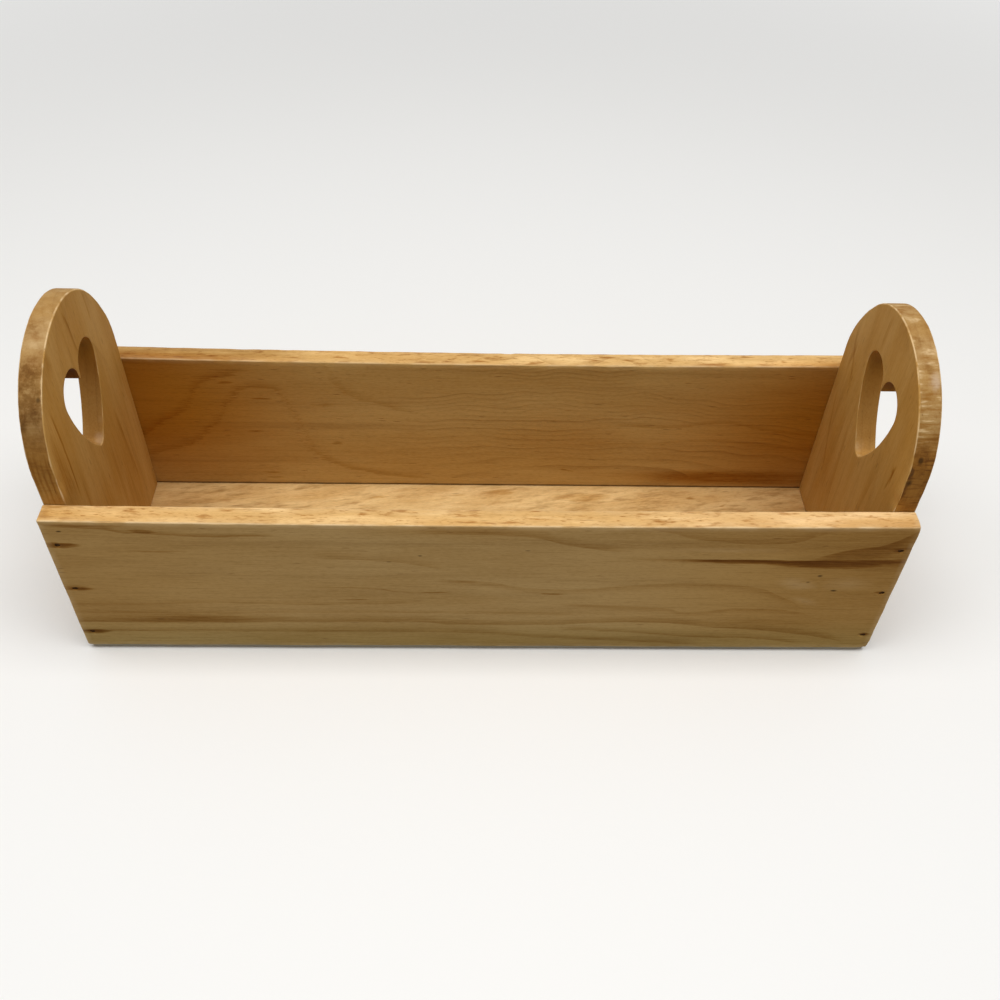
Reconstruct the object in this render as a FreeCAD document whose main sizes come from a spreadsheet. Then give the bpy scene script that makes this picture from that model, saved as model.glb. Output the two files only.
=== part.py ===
import FreeCAD, Part
import math
import os
import Sketcher

# Open wooden tote: front and back boards nailed over two arched end panels with
# heart hand-holes, on a thin bottom sheet bradded on from below.
# Millimetres, +Z up, +X to the right, origin at the centre of the underside.

driving_sizes = {
    "tote_length": 454.0,
    "tote_depth": 145.0,
    "board_height": 104.6,
    "board_thickness": 12.0,
    "board_edge_radius": 1.0,
    "end_thickness": 12.0,
    "end_height": 182.8,
    "end_edge_bevel": 0.8,
    "bottom_thickness": 3.2,
    "bottom_inset": 1.5,
    "bottom_corner_radius": 2.0,
    "heart_rise": 15.3,
    "heart_drop": 43.3,
    "heart_lobe_radius": 12.6,
    "heart_cleft_radius": 1.0,
    "heart_tip_radius": 4.8,
    "heart_flank_radius": 86.0,
    "heart_bevel": 0.6,
    "nail_length": 38.0,
    "nail_wire_width": 1.6,
    "nail_wire_thickness": 1.4,
    "nail_head_width": 2.8,
    "nail_head_height": 1.0,
    "nail_point_length": 2.5,
    "nail_set_depth": 1.5,
    "nail_low_inset": 13.1,
    "nail_high_inset": 18.3,
    "nail_middle_lift": 1.6,
    "filler_recess": 0.1,
    "brad_length": 12.5,
    "brad_wire_width": 1.2,
    "brad_wire_thickness": 1.0,
    "brad_head_width": 2.0,
    "brad_head_height": 0.8,
    "brad_point_length": 1.5,
    "brad_set_depth": 0.2,
    "brad_row_inset": 40.0,
    "brad_end_spacing": 40.0,
    "nail_clearance": 0.02,
    "tip_clearance": 0.5,
}
brads_per_board = 5

doc = FreeCAD.newDocument("wooden_tote")
sheet = doc.addObject("Spreadsheet::Sheet", "sizes")
for row, (alias, size) in enumerate(driving_sizes.items(), start=1):
    sheet.set(f"A{row}", alias.replace("_", " "))
    sheet.set(f"B{row}", str(size))
    sheet.setAlias(f"B{row}", alias)
doc.recompute()

# Lengths that follow from the driving sizes, written once as expressions.
end_width = "(sizes.tote_depth - 2 * sizes.board_thickness)"
arch_radius = f"({end_width} / 2)"
arch_centre_height = f"(sizes.end_height - {arch_radius})"
heart_lobe_height = f"({arch_centre_height} + sizes.heart_rise)"
heart_lobe_offset = "(sizes.heart_lobe_radius + sizes.heart_cleft_radius)"
wall_centre_x = "(sizes.tote_length / 2 - sizes.end_thickness / 2)"
wall_centre_y = "(sizes.tote_depth / 2 - sizes.board_thickness / 2)"
brad_end_y = "(sizes.brad_end_spacing / 2)"
brad_row_reach = "(sizes.tote_length / 2 - sizes.brad_row_inset)"

nail_low = "sizes.nail_low_inset"
nail_high = "(sizes.board_height - sizes.nail_high_inset)"
nail_middle = f"(({nail_low} + {nail_high}) / 2 + sizes.nail_middle_lift)"
nail_levels = {"low": nail_low, "middle": nail_middle, "high": nail_high}
brad_row_steps = [2 * step / (brads_per_board - 1) - 1 for step in range(brads_per_board)]


def number(expression):
    """The value of an expression on the sheet, in millimetres."""
    return float(sheet.evalExpression(expression))


def origin_feature(body, role):
    """A plane or axis of the body's own origin."""
    return next(f for f in body.Origin.OriginFeatures if f.Role == role)


def add_body(label):
    body = doc.addObject("PartDesign::Body", label)
    body.Label = label
    return body


def add_sketch(body, name, role, offset=None):
    """A sketch on one of the body's own planes, moved along its normal."""
    sketch = body.newObject("Sketcher::SketchObject", name)
    sketch.AttachmentSupport = [(origin_feature(body, role), "")]
    sketch.MapMode = "FlatFace"
    if offset:
        sketch.setExpression("AttachmentOffset.Base.z", offset)
    return sketch


def bind(sketch, kind, where, name, expression):
    """A named sketch dimension that follows an expression."""
    index = sketch.addConstraint(Sketcher.Constraint(kind, *where, number(expression)))
    sketch.renameConstraint(index, name)
    sketch.setExpression(f"Constraints.{name}", expression)


def place(part, x, y, z, axis=None, angle=0):
    """Put a part at a position given as expressions."""
    axis = axis or FreeCAD.Vector(0, 0, 1)
    part.Placement = FreeCAD.Placement(FreeCAD.Vector(), FreeCAD.Rotation(axis, angle))
    for letter, expression in zip("xyz", (x, y, z)):
        part.setExpression(f"Placement.Base.{letter}", expression)


# Sketch outlines --------------------------------------------------------

def add_polygon(sketch, points):
    """Closed straight sides through the points, joined at every corner."""
    first = len(sketch.Geometry)
    for start, finish in zip(points, points[1:] + points[:1]):
        sketch.addGeometry(Part.LineSegment(start, finish))
    sides = list(range(first, first + len(points)))
    for side, following in zip(sides, sides[1:] + sides[:1]):
        sketch.addConstraint(Sketcher.Constraint("Coincident", side, 2, following, 1))
    return sides


def draw_rectangle(sketch, tag, width, height, across, up):
    """A rectangle whose centre lies at the given distances from the sketch's origin."""
    half_width = number(width) / 2
    half_height = number(height) / 2
    centre = FreeCAD.Vector(number(across), number(up))
    corners = [centre + FreeCAD.Vector(x * half_width, y * half_height)
               for x, y in ((-1, -1), (1, -1), (1, 1), (-1, 1))]
    low, right, high, left = add_polygon(sketch, corners)
    for side in (low, high):
        sketch.addConstraint(Sketcher.Constraint("Horizontal", side))
    for side in (right, left):
        sketch.addConstraint(Sketcher.Constraint("Vertical", side))
    bind(sketch, "DistanceX", (low, 1, low, 2), f"{tag}_width", width)
    bind(sketch, "DistanceY", (right, 1, right, 2), f"{tag}_height", height)
    bind(sketch, "DistanceX", (-1, 1, low, 1), f"{tag}_left", f"{across} - ({width}) / 2")
    bind(sketch, "DistanceY", (-1, 1, low, 1), f"{tag}_low", f"{up} - ({height}) / 2")


def draw_wire_slots(sketch, kind, part, spots):
    """A slot for the wire or the head of a nail at each spot, with its clearance."""
    width = f"(sizes.{kind}_{part}_width + 2 * sizes.nail_clearance)"
    height = f"(sizes.{kind}_wire_thickness + 2 * sizes.nail_clearance)"
    for count, (across, up) in enumerate(spots):
        draw_rectangle(sketch, f"slot_{count}", width, height, across, up)


def draw_arched_outline(sketch):
    """Straight sides and a half-round top, standing on the horizontal axis."""
    half = number(arch_radius)
    spring = number(arch_centre_height)
    foot_left = FreeCAD.Vector(-half, 0)
    foot_right = FreeCAD.Vector(half, 0)
    spring_left = FreeCAD.Vector(-half, spring)
    spring_right = FreeCAD.Vector(half, spring)
    circle = Part.Circle(FreeCAD.Vector(0, spring), FreeCAD.Vector(0, 0, 1), half)
    foot = sketch.addGeometry(Part.LineSegment(foot_left, foot_right))
    right = sketch.addGeometry(Part.LineSegment(foot_right, spring_right))
    arch = sketch.addGeometry(Part.ArcOfCircle(circle, 0, math.pi))
    left = sketch.addGeometry(Part.LineSegment(spring_left, foot_left))
    sketch.addConstraint(Sketcher.Constraint("Coincident", foot, 2, right, 1))
    sketch.addConstraint(Sketcher.Constraint("Tangent", right, 2, arch, 1))
    sketch.addConstraint(Sketcher.Constraint("Tangent", arch, 2, left, 1))
    sketch.addConstraint(Sketcher.Constraint("Coincident", left, 2, foot, 1))
    sketch.addConstraint(Sketcher.Constraint("Vertical", right))
    sketch.addConstraint(Sketcher.Constraint("Vertical", left))
    sketch.addConstraint(Sketcher.Constraint("Symmetric", foot, 1, foot, 2, -1, 1))
    bind(sketch, "DistanceX", (foot, 1, foot, 2), "width", end_width)
    bind(sketch, "DistanceY", (-1, 1, arch, 3), "spring_height", arch_centre_height)


def draw_heart(sketch):
    """Two lobes, a rounded cleft between them, bulging flanks and a rounded tip."""
    lobe = number("sizes.heart_lobe_radius")
    cleft = number("sizes.heart_cleft_radius")
    tip = number("sizes.heart_tip_radius")
    flank = number("sizes.heart_flank_radius")
    cleft_centre = FreeCAD.Vector(0, number(heart_lobe_height))
    tip_centre = cleft_centre - FreeCAD.Vector(0, number("sizes.heart_drop"))
    lobe_centre = cleft_centre + FreeCAD.Vector(number(heart_lobe_offset), 0)

    # The flank's circle holds the lobe's and the tip's and touches both, so its centre
    # lies at known distances from theirs.
    between = tip_centre - lobe_centre
    reach = between.Length
    along = ((flank - lobe) ** 2 - (flank - tip) ** 2 + reach ** 2) / (2 * reach)
    across = math.sqrt((flank - lobe) ** 2 - along ** 2)
    between.normalize()
    sideways = FreeCAD.Vector(between.y, -between.x)
    flank_centre = lobe_centre + between * along + sideways * across
    to_lobe = lobe_centre - flank_centre
    to_tip = tip_centre - flank_centre
    lobe_angle = math.atan2(to_lobe.y, to_lobe.x)
    tip_angle = math.atan2(to_tip.y, to_tip.x)

    def add_arc(centre, radius, start, finish, mirrored=False):
        if mirrored:
            centre = FreeCAD.Vector(-centre.x, centre.y)
            start, finish = math.pi - finish, math.pi - start
        circle = Part.Circle(centre, FreeCAD.Vector(0, 0, 1), radius)
        return sketch.addGeometry(Part.ArcOfCircle(circle, start, finish))

    right_lobe = add_arc(lobe_centre, lobe, lobe_angle, math.pi)
    right_flank = add_arc(flank_centre, flank, tip_angle, lobe_angle)
    left_lobe = add_arc(lobe_centre, lobe, lobe_angle, math.pi, True)
    left_flank = add_arc(flank_centre, flank, tip_angle, lobe_angle, True)
    cleft_arc = add_arc(cleft_centre, cleft, math.pi, 2 * math.pi)
    tip_arc = add_arc(tip_centre, tip, -math.pi - tip_angle, tip_angle)

    touching = [(cleft_arc, 2, right_lobe, 2), (right_lobe, 1, right_flank, 2),
                (right_flank, 1, tip_arc, 2), (tip_arc, 1, left_flank, 2),
                (left_flank, 1, left_lobe, 2), (left_lobe, 1, cleft_arc, 1)]
    for pair in touching:
        sketch.addConstraint(Sketcher.Constraint("Tangent", *pair))
    for twins in ((right_lobe, left_lobe), (right_flank, left_flank)):
        sketch.addConstraint(Sketcher.Constraint("Equal", *twins))
    for middle in (cleft_arc, tip_arc):
        sketch.addConstraint(Sketcher.Constraint("PointOnObject", middle, 3, -2))
    for side in (right_lobe, left_lobe):
        sketch.addConstraint(Sketcher.Constraint("Horizontal", side, 3, cleft_arc, 3))
    bind(sketch, "Radius", (right_lobe,), "lobe_radius", "sizes.heart_lobe_radius")
    bind(sketch, "Radius", (right_flank,), "flank_radius", "sizes.heart_flank_radius")
    bind(sketch, "Radius", (cleft_arc,), "cleft_radius", "sizes.heart_cleft_radius")
    bind(sketch, "Radius", (tip_arc,), "tip_radius", "sizes.heart_tip_radius")
    bind(sketch, "DistanceY", (-1, 1, cleft_arc, 3), "lobe_height", heart_lobe_height)
    bind(sketch, "DistanceY", (tip_arc, 3, cleft_arc, 3), "drop", "sizes.heart_drop")


def draw_nail_profile(sketch, kind):
    """The broad side of a collated wire nail: a T head, a straight wire and a point."""
    head_side = f"sizes.{kind}_head_width / 2"
    head_height = f"sizes.{kind}_head_height"
    wire_side = f"sizes.{kind}_wire_width / 2"
    length = f"sizes.{kind}_length"
    shoulder = f"{length} - sizes.{kind}_point_length"
    corners = [(head_side, "0"), (head_side, head_height), (wire_side, head_height),
               (wire_side, shoulder), ("0", length)]
    right = [FreeCAD.Vector(number(across), number(along)) for across, along in corners]
    left = [FreeCAD.Vector(-point.x, point.y) for point in reversed(right[:-1])]
    sides = add_polygon(sketch, right + left)
    level = [1, 6, 8]
    upright = [0, 2, 5, 7]
    for side in level:
        sketch.addConstraint(Sketcher.Constraint("Horizontal", sides[side]))
    for side in upright:
        sketch.addConstraint(Sketcher.Constraint("Vertical", sides[side]))
    for one, other in ((0, 7), (2, 5)):
        sketch.addConstraint(Sketcher.Constraint("Symmetric", sides[one], 2, sides[other], 1, -2))
    sketch.addConstraint(Sketcher.Constraint("PointOnObject", sides[4], 1, -2))
    sketch.addConstraint(Sketcher.Constraint("PointOnObject", sides[0], 1, -1))
    bind(sketch, "DistanceX", (-1, 1, 0, 2), "head_side", head_side)
    bind(sketch, "DistanceY", (-1, 1, 0, 2), "head_height", head_height)
    bind(sketch, "DistanceX", (-1, 1, 2, 2), "wire_side", wire_side)
    bind(sketch, "DistanceY", (-1, 1, 2, 2), "shoulder", shoulder)
    bind(sketch, "DistanceY", (-1, 1, 4, 1), "length", length)


# Features ---------------------------------------------------------------

def pad(body, name, sketch, length, against_normal=False, both_ways=False):
    feature = body.newObject("PartDesign::Pad", name)
    feature.Profile = sketch
    feature.setExpression("Length", length)
    feature.Reversed = against_normal
    feature.Midplane = both_ways
    doc.recompute()
    return feature


def pocket(body, name, sketch, depth=None, along_normal=False):
    """Cut to a depth, or right through, and make sure that wood was cut away."""
    doc.recompute()
    before = body.Shape.Volume
    feature = body.newObject("PartDesign::Pocket", name)
    feature.Profile = sketch
    feature.Reversed = along_normal
    if depth:
        feature.setExpression("Length", depth)
    else:
        feature.Type = "ThroughAll"
    doc.recompute()
    if body.Shape.Volume >= before:
        raise RuntimeError(f"{name} cuts nothing")
    return feature


def dress_edges(body, kind, name, size_name, size, chosen):
    """A fillet or chamfer on every edge of the present solid that the test chooses."""
    base = body.Tip
    edges = [f"Edge{count}" for count, edge in enumerate(base.Shape.Edges, start=1)
             if chosen(edge)]
    dressed = body.newObject(kind, name)
    dressed.Base = (base, edges)
    dressed.setExpression(size_name, size)
    doc.recompute()
    return dressed


def lies_at(edge, letter, value):
    """True where the whole edge lies at one place along an axis."""
    box = edge.BoundBox
    low = getattr(box, f"{letter}Min")
    high = getattr(box, f"{letter}Max")
    return abs(low - value) < 0.001 and abs(high - value) < 0.001


# Pieces -----------------------------------------------------------------

def cut_brad_slots(body, label, spots):
    """Blind slots for the brads, up into a wall that stands on the bottom sheet."""
    depth = ("sizes.brad_set_depth + sizes.brad_length - sizes.bottom_thickness"
             " + sizes.tip_clearance")
    sketch = add_sketch(body, f"{label}_brad_spots", "XY_Plane")
    draw_wire_slots(sketch, "brad", "wire", spots)
    pocket(body, f"{label}_brad_slots", sketch, depth, True)


def make_long_board(label):
    """A board with its outer face at y = 0 and its inner face towards +y."""
    body = add_body(label)
    blank = add_sketch(body, f"{label}_blank", "XZ_Plane")
    draw_rectangle(blank, "board", "sizes.tote_length", "sizes.board_height",
                   "0", "sizes.board_height / 2")
    pad(body, f"{label}_pad", blank, "sizes.board_thickness", True)

    board_top = number("sizes.board_height")

    def handled(edge):
        outer_face = lies_at(edge, "Y", 0)
        lengthwise = edge.BoundBox.XLength > edge.BoundBox.ZLength
        return lengthwise and (outer_face or lies_at(edge, "Z", board_top))

    dress_edges(body, "PartDesign::Fillet", f"{label}_eased_edges",
                "Radius", "sizes.board_edge_radius", handled)

    spots = [(f"{side} * {wall_centre_x}", level)
             for side in (-1, 1) for level in nail_levels.values()]
    wires = add_sketch(body, f"{label}_nail_spots", "XZ_Plane")
    draw_wire_slots(wires, "nail", "wire", spots)
    pocket(body, f"{label}_nail_slots", wires)
    heads = add_sketch(body, f"{label}_head_spots", "XZ_Plane")
    draw_wire_slots(heads, "nail", "head", spots)
    pocket(body, f"{label}_head_slots", heads, "sizes.nail_set_depth + sizes.nail_head_height")

    cut_brad_slots(body, label, [(f"{step} * {brad_row_reach}", "sizes.board_thickness / 2")
                                 for step in brad_row_steps])
    return body


def make_end_panel(label):
    """An end panel with its outer face at x = 0, standing on z = 0."""
    body = add_body(label)
    outline = add_sketch(body, f"{label}_outline", "YZ_Plane")
    draw_arched_outline(outline)
    pad(body, f"{label}_pad", outline, "sizes.end_thickness")

    thickness = number("sizes.end_thickness")

    def on_a_face(edge):
        return lies_at(edge, "X", 0) or lies_at(edge, "X", thickness)

    dress_edges(body, "PartDesign::Chamfer", f"{label}_eased_edges",
                "Size", "sizes.end_edge_bevel",
                lambda edge: on_a_face(edge) and not lies_at(edge, "Z", 0))

    heart = add_sketch(body, f"{label}_heart", "YZ_Plane")
    draw_heart(heart)
    pocket(body, f"{label}_hand_hole", heart, None, True)
    heart_half_width = number(f"{heart_lobe_offset} + sizes.heart_lobe_radius")
    heart_foot = number(f"{heart_lobe_height} - sizes.heart_drop - sizes.heart_tip_radius")
    heart_top = number(f"{heart_lobe_height} + sizes.heart_lobe_radius")

    def on_the_heart(edge):
        centre = edge.CenterOfMass
        beside = abs(centre.y) < heart_half_width
        return on_a_face(edge) and beside and heart_foot < centre.z < heart_top

    dress_edges(body, "PartDesign::Chamfer", f"{label}_heart_bevel",
                "Size", "sizes.heart_bevel", on_the_heart)

    pilots = add_sketch(body, f"{label}_nail_spots", "XZ_Plane", arch_radius)
    draw_wire_slots(pilots, "nail", "wire",
                    [("sizes.end_thickness / 2", level) for level in nail_levels.values()])
    depth = ("sizes.nail_set_depth + sizes.nail_length - sizes.board_thickness"
             " + sizes.tip_clearance")
    front_slots = pocket(body, f"{label}_front_slots", pilots, depth)
    back_slots = body.newObject("PartDesign::Mirrored", f"{label}_back_slots")
    back_slots.Originals = [front_slots]
    back_slots.MirrorPlane = (origin_feature(body, "XZ_Plane"), [""])
    body.Tip = back_slots

    cut_brad_slots(body, label, [("sizes.end_thickness / 2", f"{side} * {brad_end_y}")
                                 for side in (-1, 1)])
    return body


def brad_spots():
    """Name and place of every brad under the bottom sheet."""
    spots = {}
    for name, side in (("front", -1), ("back", 1)):
        for count, step in enumerate(brad_row_steps, start=1):
            spots[f"{name}_{count}"] = (f"{step} * {brad_row_reach}", f"{side} * {wall_centre_y}")
    for name, side in (("left", -1), ("right", 1)):
        for row, row_side in (("front", -1), ("back", 1)):
            spots[f"{name}_{row}"] = (f"{side} * {wall_centre_x}", f"{row_side} * {brad_end_y}")
    return spots


def make_bottom_panel(label):
    """The thin sheet under the four walls, a little smaller than their outline."""
    body = add_body(label)
    blank = add_sketch(body, f"{label}_blank", "XY_Plane")
    draw_rectangle(blank, "sheet", "sizes.tote_length - 2 * sizes.bottom_inset",
                   "sizes.tote_depth - 2 * sizes.bottom_inset", "0", "0")
    pad(body, f"{label}_pad", blank, "sizes.bottom_thickness")
    dress_edges(body, "PartDesign::Fillet", f"{label}_corners",
                "Radius", "sizes.bottom_corner_radius",
                lambda edge: edge.BoundBox.ZLength > edge.BoundBox.XLength + edge.BoundBox.YLength)
    spots = list(brad_spots().values())
    wires = add_sketch(body, f"{label}_brad_spots", "XY_Plane")
    draw_wire_slots(wires, "brad", "wire", spots)
    pocket(body, f"{label}_brad_slots", wires, None, True)
    heads = add_sketch(body, f"{label}_head_spots", "XY_Plane")
    draw_wire_slots(heads, "brad", "head", spots)
    pocket(body, f"{label}_head_slots", heads,
           "sizes.brad_set_depth + sizes.brad_head_height", True)
    return body


def make_nail(label, kind):
    """A nail driven along +y with the top of its head at y = 0."""
    body = add_body(label)
    profile = add_sketch(body, f"{label}_profile", "XY_Plane")
    draw_nail_profile(profile, kind)
    pad(body, f"{label}_wire", profile, f"sizes.{kind}_wire_thickness", False, True)
    return body


def make_filler(label):
    """The plug of filler over a set nail's head, from its outer face at y = 0."""
    plug = doc.addObject("Part::Box", label)
    plug.Label = label
    plug.setExpression("Length", "sizes.nail_head_width")
    plug.setExpression("Width", "sizes.nail_set_depth - sizes.filler_recess")
    plug.setExpression("Height", "sizes.nail_wire_thickness")
    return plug


x_axis = FreeCAD.Vector(1, 0, 0)
z_axis = FreeCAD.Vector(0, 0, 1)

front_board = make_long_board("front_board")
place(front_board, "0", "-sizes.tote_depth / 2", "sizes.bottom_thickness")
back_board = make_long_board("back_board")
place(back_board, "0", "sizes.tote_depth / 2", "sizes.bottom_thickness", z_axis, 180)
left_end_panel = make_end_panel("left_end_panel")
place(left_end_panel, "-sizes.tote_length / 2", "0", "sizes.bottom_thickness")
right_end_panel = make_end_panel("right_end_panel")
place(right_end_panel, "sizes.tote_length / 2", "0", "sizes.bottom_thickness", z_axis, 180)
bottom_panel = make_bottom_panel("bottom_panel")
pieces = [front_board, back_board, left_end_panel, right_end_panel, bottom_panel]

for board, side, turn in (("front", -1, 0), ("back", 1, 180)):
    for end, end_side in (("left", -1), ("right", 1)):
        for name, level in nail_levels.items():
            spot = f"{board}_{end}_{name}"
            across = f"{end_side} * {wall_centre_x}"
            up = f"sizes.bottom_thickness + {level}"
            nail = make_nail(f"nail_{spot}", "nail")
            place(nail, across, f"{side} * (sizes.tote_depth / 2 - sizes.nail_set_depth)", up,
                  z_axis, turn)
            filler = make_filler(f"filler_{spot}")
            place(filler, f"{across} + {side} * sizes.nail_head_width / 2",
                  f"{side} * (sizes.tote_depth / 2 - sizes.filler_recess)",
                  f"{up} - sizes.nail_wire_thickness / 2", z_axis, turn)
            pieces += [nail, filler]

for spot, (across, along) in brad_spots().items():
    brad = make_nail(f"brad_{spot}", "brad")
    place(brad, across, along, "sizes.brad_set_depth", x_axis, 90)
    pieces.append(brad)

doc.recompute()

# Nothing is written until every object and every shape is sound.
broken = [item.Name for item in doc.Objects if {"Invalid", "Error"} & set(item.State)]
if broken:
    raise RuntimeError(f"objects that failed to build: {broken}")
for piece in pieces:
    if piece.Shape.isNull() or not piece.Shape.isValid() or len(piece.Shape.Solids) != 1:
        raise RuntimeError(f"{piece.Label} has no single valid solid")

os.makedirs("parts", exist_ok=True)
for piece in pieces:
    piece.Shape.exportStep(f"parts/{piece.Label}.step")
print(f"{len(pieces)} pieces written")
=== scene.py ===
import math

import bpy
from mathutils import Matrix, Vector, noise


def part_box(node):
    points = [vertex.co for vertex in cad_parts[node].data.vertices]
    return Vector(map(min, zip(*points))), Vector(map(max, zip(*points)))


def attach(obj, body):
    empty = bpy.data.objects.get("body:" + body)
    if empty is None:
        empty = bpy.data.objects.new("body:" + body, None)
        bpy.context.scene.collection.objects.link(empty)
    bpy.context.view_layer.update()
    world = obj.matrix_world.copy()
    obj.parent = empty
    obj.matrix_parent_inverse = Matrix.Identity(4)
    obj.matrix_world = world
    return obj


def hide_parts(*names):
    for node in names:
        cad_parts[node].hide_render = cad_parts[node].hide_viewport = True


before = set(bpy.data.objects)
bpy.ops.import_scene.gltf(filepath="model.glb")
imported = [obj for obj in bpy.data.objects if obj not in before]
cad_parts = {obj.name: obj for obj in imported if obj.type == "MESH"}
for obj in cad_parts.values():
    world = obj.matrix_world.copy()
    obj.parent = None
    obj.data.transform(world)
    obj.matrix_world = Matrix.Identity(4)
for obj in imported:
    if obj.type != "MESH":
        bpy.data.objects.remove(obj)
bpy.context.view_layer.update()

mm = 0.001  # sizes below are written in millimetres and turned into metres with this
print("frame loaded,", len(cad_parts), "nodes")


def addNode(tree, kind, inputs=None, **settings):
    made = tree.nodes.new("ShaderNode" + kind)
    for key, value in settings.items():
        setattr(made, key, value)
    for socket, value in (inputs or {}).items():
        if isinstance(value, bpy.types.NodeSocket):
            tree.links.new(value, made.inputs[socket])
        else:
            made.inputs[socket].default_value = value
    return made


def calc(tree, operation, first, second=0.0, third=0.0, clamp=False):
    made = addNode(tree, "Math", {0: first, 1: second, 2: third}, operation=operation,
                   use_clamp=clamp)
    return made.outputs[0]


def times(tree, first, *others):
    for other in others:
        first = calc(tree, "MULTIPLY", first, other)
    return first


def minus(tree, first, second):
    return calc(tree, "SUBTRACT", first, second)


def strongest(tree, masks):
    found = masks[0]
    for mask in masks[1:]:
        found = calc(tree, "MAXIMUM", found, mask)
    return found


def vectorCalc(tree, operation, first, second=(0, 0, 0)):
    return addNode(tree, "VectorMath", {0: first, 1: second}, operation=operation).outputs[0]


def splitAxes(tree, vector):
    return addNode(tree, "SeparateXYZ", {0: vector}).outputs


# the result goes from least where value is low to most where it is high, with soft ends
def easeBetween(tree, value, low, high, most=1.0, least=0.0):
    made = addNode(tree, "MapRange", {0: value, 1: low, 2: high, 3: least, 4: most},
                   interpolation_type="SMOOTHSTEP")
    return made.outputs[0]


# a plain colour gets its alpha; a colour from another node stays as it is
def paint(colour):
    return (*colour, 1.0) if isinstance(colour, tuple) else colour


def blend(tree, amount, under, over, how="MIX"):
    made = addNode(tree, "Mix", {0: amount, 6: paint(under), 7: paint(over)}, data_type="RGBA",
                   blend_type=how)
    return made.outputs[2]


def tinted(tree, colour, tint, amount=1.0):
    return blend(tree, amount, colour, tint, "MULTIPLY")


stainStrength = {"richer": 0.55, "umber": 0.4}


# stained wood grows darker and richer, as if more of the same varnish lay on it
def deepen(tree, amount, colour, umber):
    power = calc(tree, "MULTIPLY_ADD", amount, stainStrength["richer"], 1.0)
    richer = addNode(tree, "Gamma", {0: colour, 1: power}).outputs[0]
    share = calc(tree, "MULTIPLY", amount, stainStrength["umber"], clamp=True)
    return blend(tree, share, richer, umber)


def plainNoise(tree, vector, scale, detail, roughness=0.5):
    return addNode(tree, "TexNoise", {"Vector": vector, "Scale": scale, "Detail": detail,
                                      "Roughness": roughness}).outputs


# coordinates whose unit is length, width and depth in mm along the grain, across it and through it
def drawOut(tree, grain, length, width, depth, shift=0.0):
    scale = (1 / length, 1 / width, 1 / depth)
    return addNode(tree, "Mapping", {0: grain, 1: (shift, shift, shift), 3: scale}).outputs[0]


def grainNoise(tree, grain, length, width, depth=None, detail=2.0, shift=0.0):
    drawn = drawOut(tree, grain, length, width, depth or width, shift)
    return plainNoise(tree, drawn, 1.0, detail, 0.55)[0]


# patterns in the wood: length, width and depth in mm, detail, and a shift that keeps them apart
patterns = {
    "calmStretches": (130, 44, 60, 1.0, 30.2),
    "ringFade": (130, 22, 22, 1.0, 8.3),
    "fibres": (22, 0.8, 1.4, 3.0, 2.4),
    "paleFibres": (26, 1.1, 1.8, 2.0, 9.4),
    "flecks": (3.2, 0.7, 0.7, 2.0, 21.3),
    "lineSway": (16, 6, 40, 2.5, 4.9),
    "lineTear": (24, 0.8, 40, 2.5, 2.7),
    "topStretches": (55, 9, None, 2.0, 15.2),
    "topFlecks": (4.5, 0.75, None, 2.0, 18.4),
    "sheetLayers": (30, 30, 0.5, 2.0, 4.2),
    "sawRipple": (1.5, 9, 11, 3.0, 7.7),
    "arrisPatches": (14, 6, 6, 2.0, 6.6),
    "swell": (5, 2.2, 2.2, 3.0, 4.4),
}


def pattern(tree, grain, name):
    return grainNoise(tree, grain, *patterns[name])


grainOrder = {"X": (0, 2, 1), "Z": (2, 1, 0), "flatX": (0, 1, 2)}  # axes along, across and through the grain


# object coordinates in mm, put in the order along, across, through; slant turns the figure across the face
def grainCoords(tree, order, place, slant):
    axes = splitAxes(tree, place)
    along, across, through = [axes[i] for i in grainOrder[order]]
    ordered = addNode(tree, "CombineXYZ", {0: along, 1: across, 2: through}).outputs[0]
    return addNode(tree, "Mapping", {0: ordered, 2: (0, 0, -math.radians(slant))}).outputs[0]


# growth rings round a pith line: 0 in the early wood, up to 1 at the dark edge of each ring
def growthRings(tree, grain, wood):
    along, across, through = splitAxes(tree, grain)
    swing = minus(tree, grainNoise(tree, grain, wood["wanderLength"], 34, 60, 1.5, 3.1), 0.5)
    across = calc(tree, "MULTIPLY_ADD", swing, wood["wander"] * 2, across)
    across = minus(tree, across, wood["pith"][0])
    through = minus(tree, through, wood["pith"][1])
    reach = calc(tree, "SQRT", calc(tree, "ADD", times(tree, across, across), times(tree, through, through)))
    offMiddle = minus(tree, along, wood["taperFrom"])
    taper = times(tree, offMiddle, offMiddle, wood["taper"])
    count = calc(tree, "DIVIDE", calc(tree, "ADD", reach, taper), wood["ringGap"])
    part = calc(tree, "FRACT", count)
    lateWood = calc(tree, "POWER", part, wood["ringSharpness"])
    edge = easeBetween(tree, part, 1.0, 0.965)  # the drop after the dark line is short, but not a step
    whichRing = calc(tree, "FLOOR", count)
    chance = addNode(tree, "TexWhiteNoise", {"W": whichRing}, noise_dimensions="1D").outputs[0]
    fade = easeBetween(tree, pattern(tree, grain, "ringFade"), 0.34, 0.62)
    fade = times(tree, fade, easeBetween(tree, along, *wood["ringsFrom"]))
    strength = times(tree, easeBetween(tree, chance, 0.0, 1.0, 1.0, 0.3), fade)
    return times(tree, lateWood, edge, strength)


# a soft-edged patch: middle and half sizes in mm in the part's own axes, softness, depth, tilt in degrees
def mark(at, size, soft, depth, tilt=(0, 0, 0)):
    return {"at": at, "size": size, "soft": soft, "depth": depth, "tilt": tilt}


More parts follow.
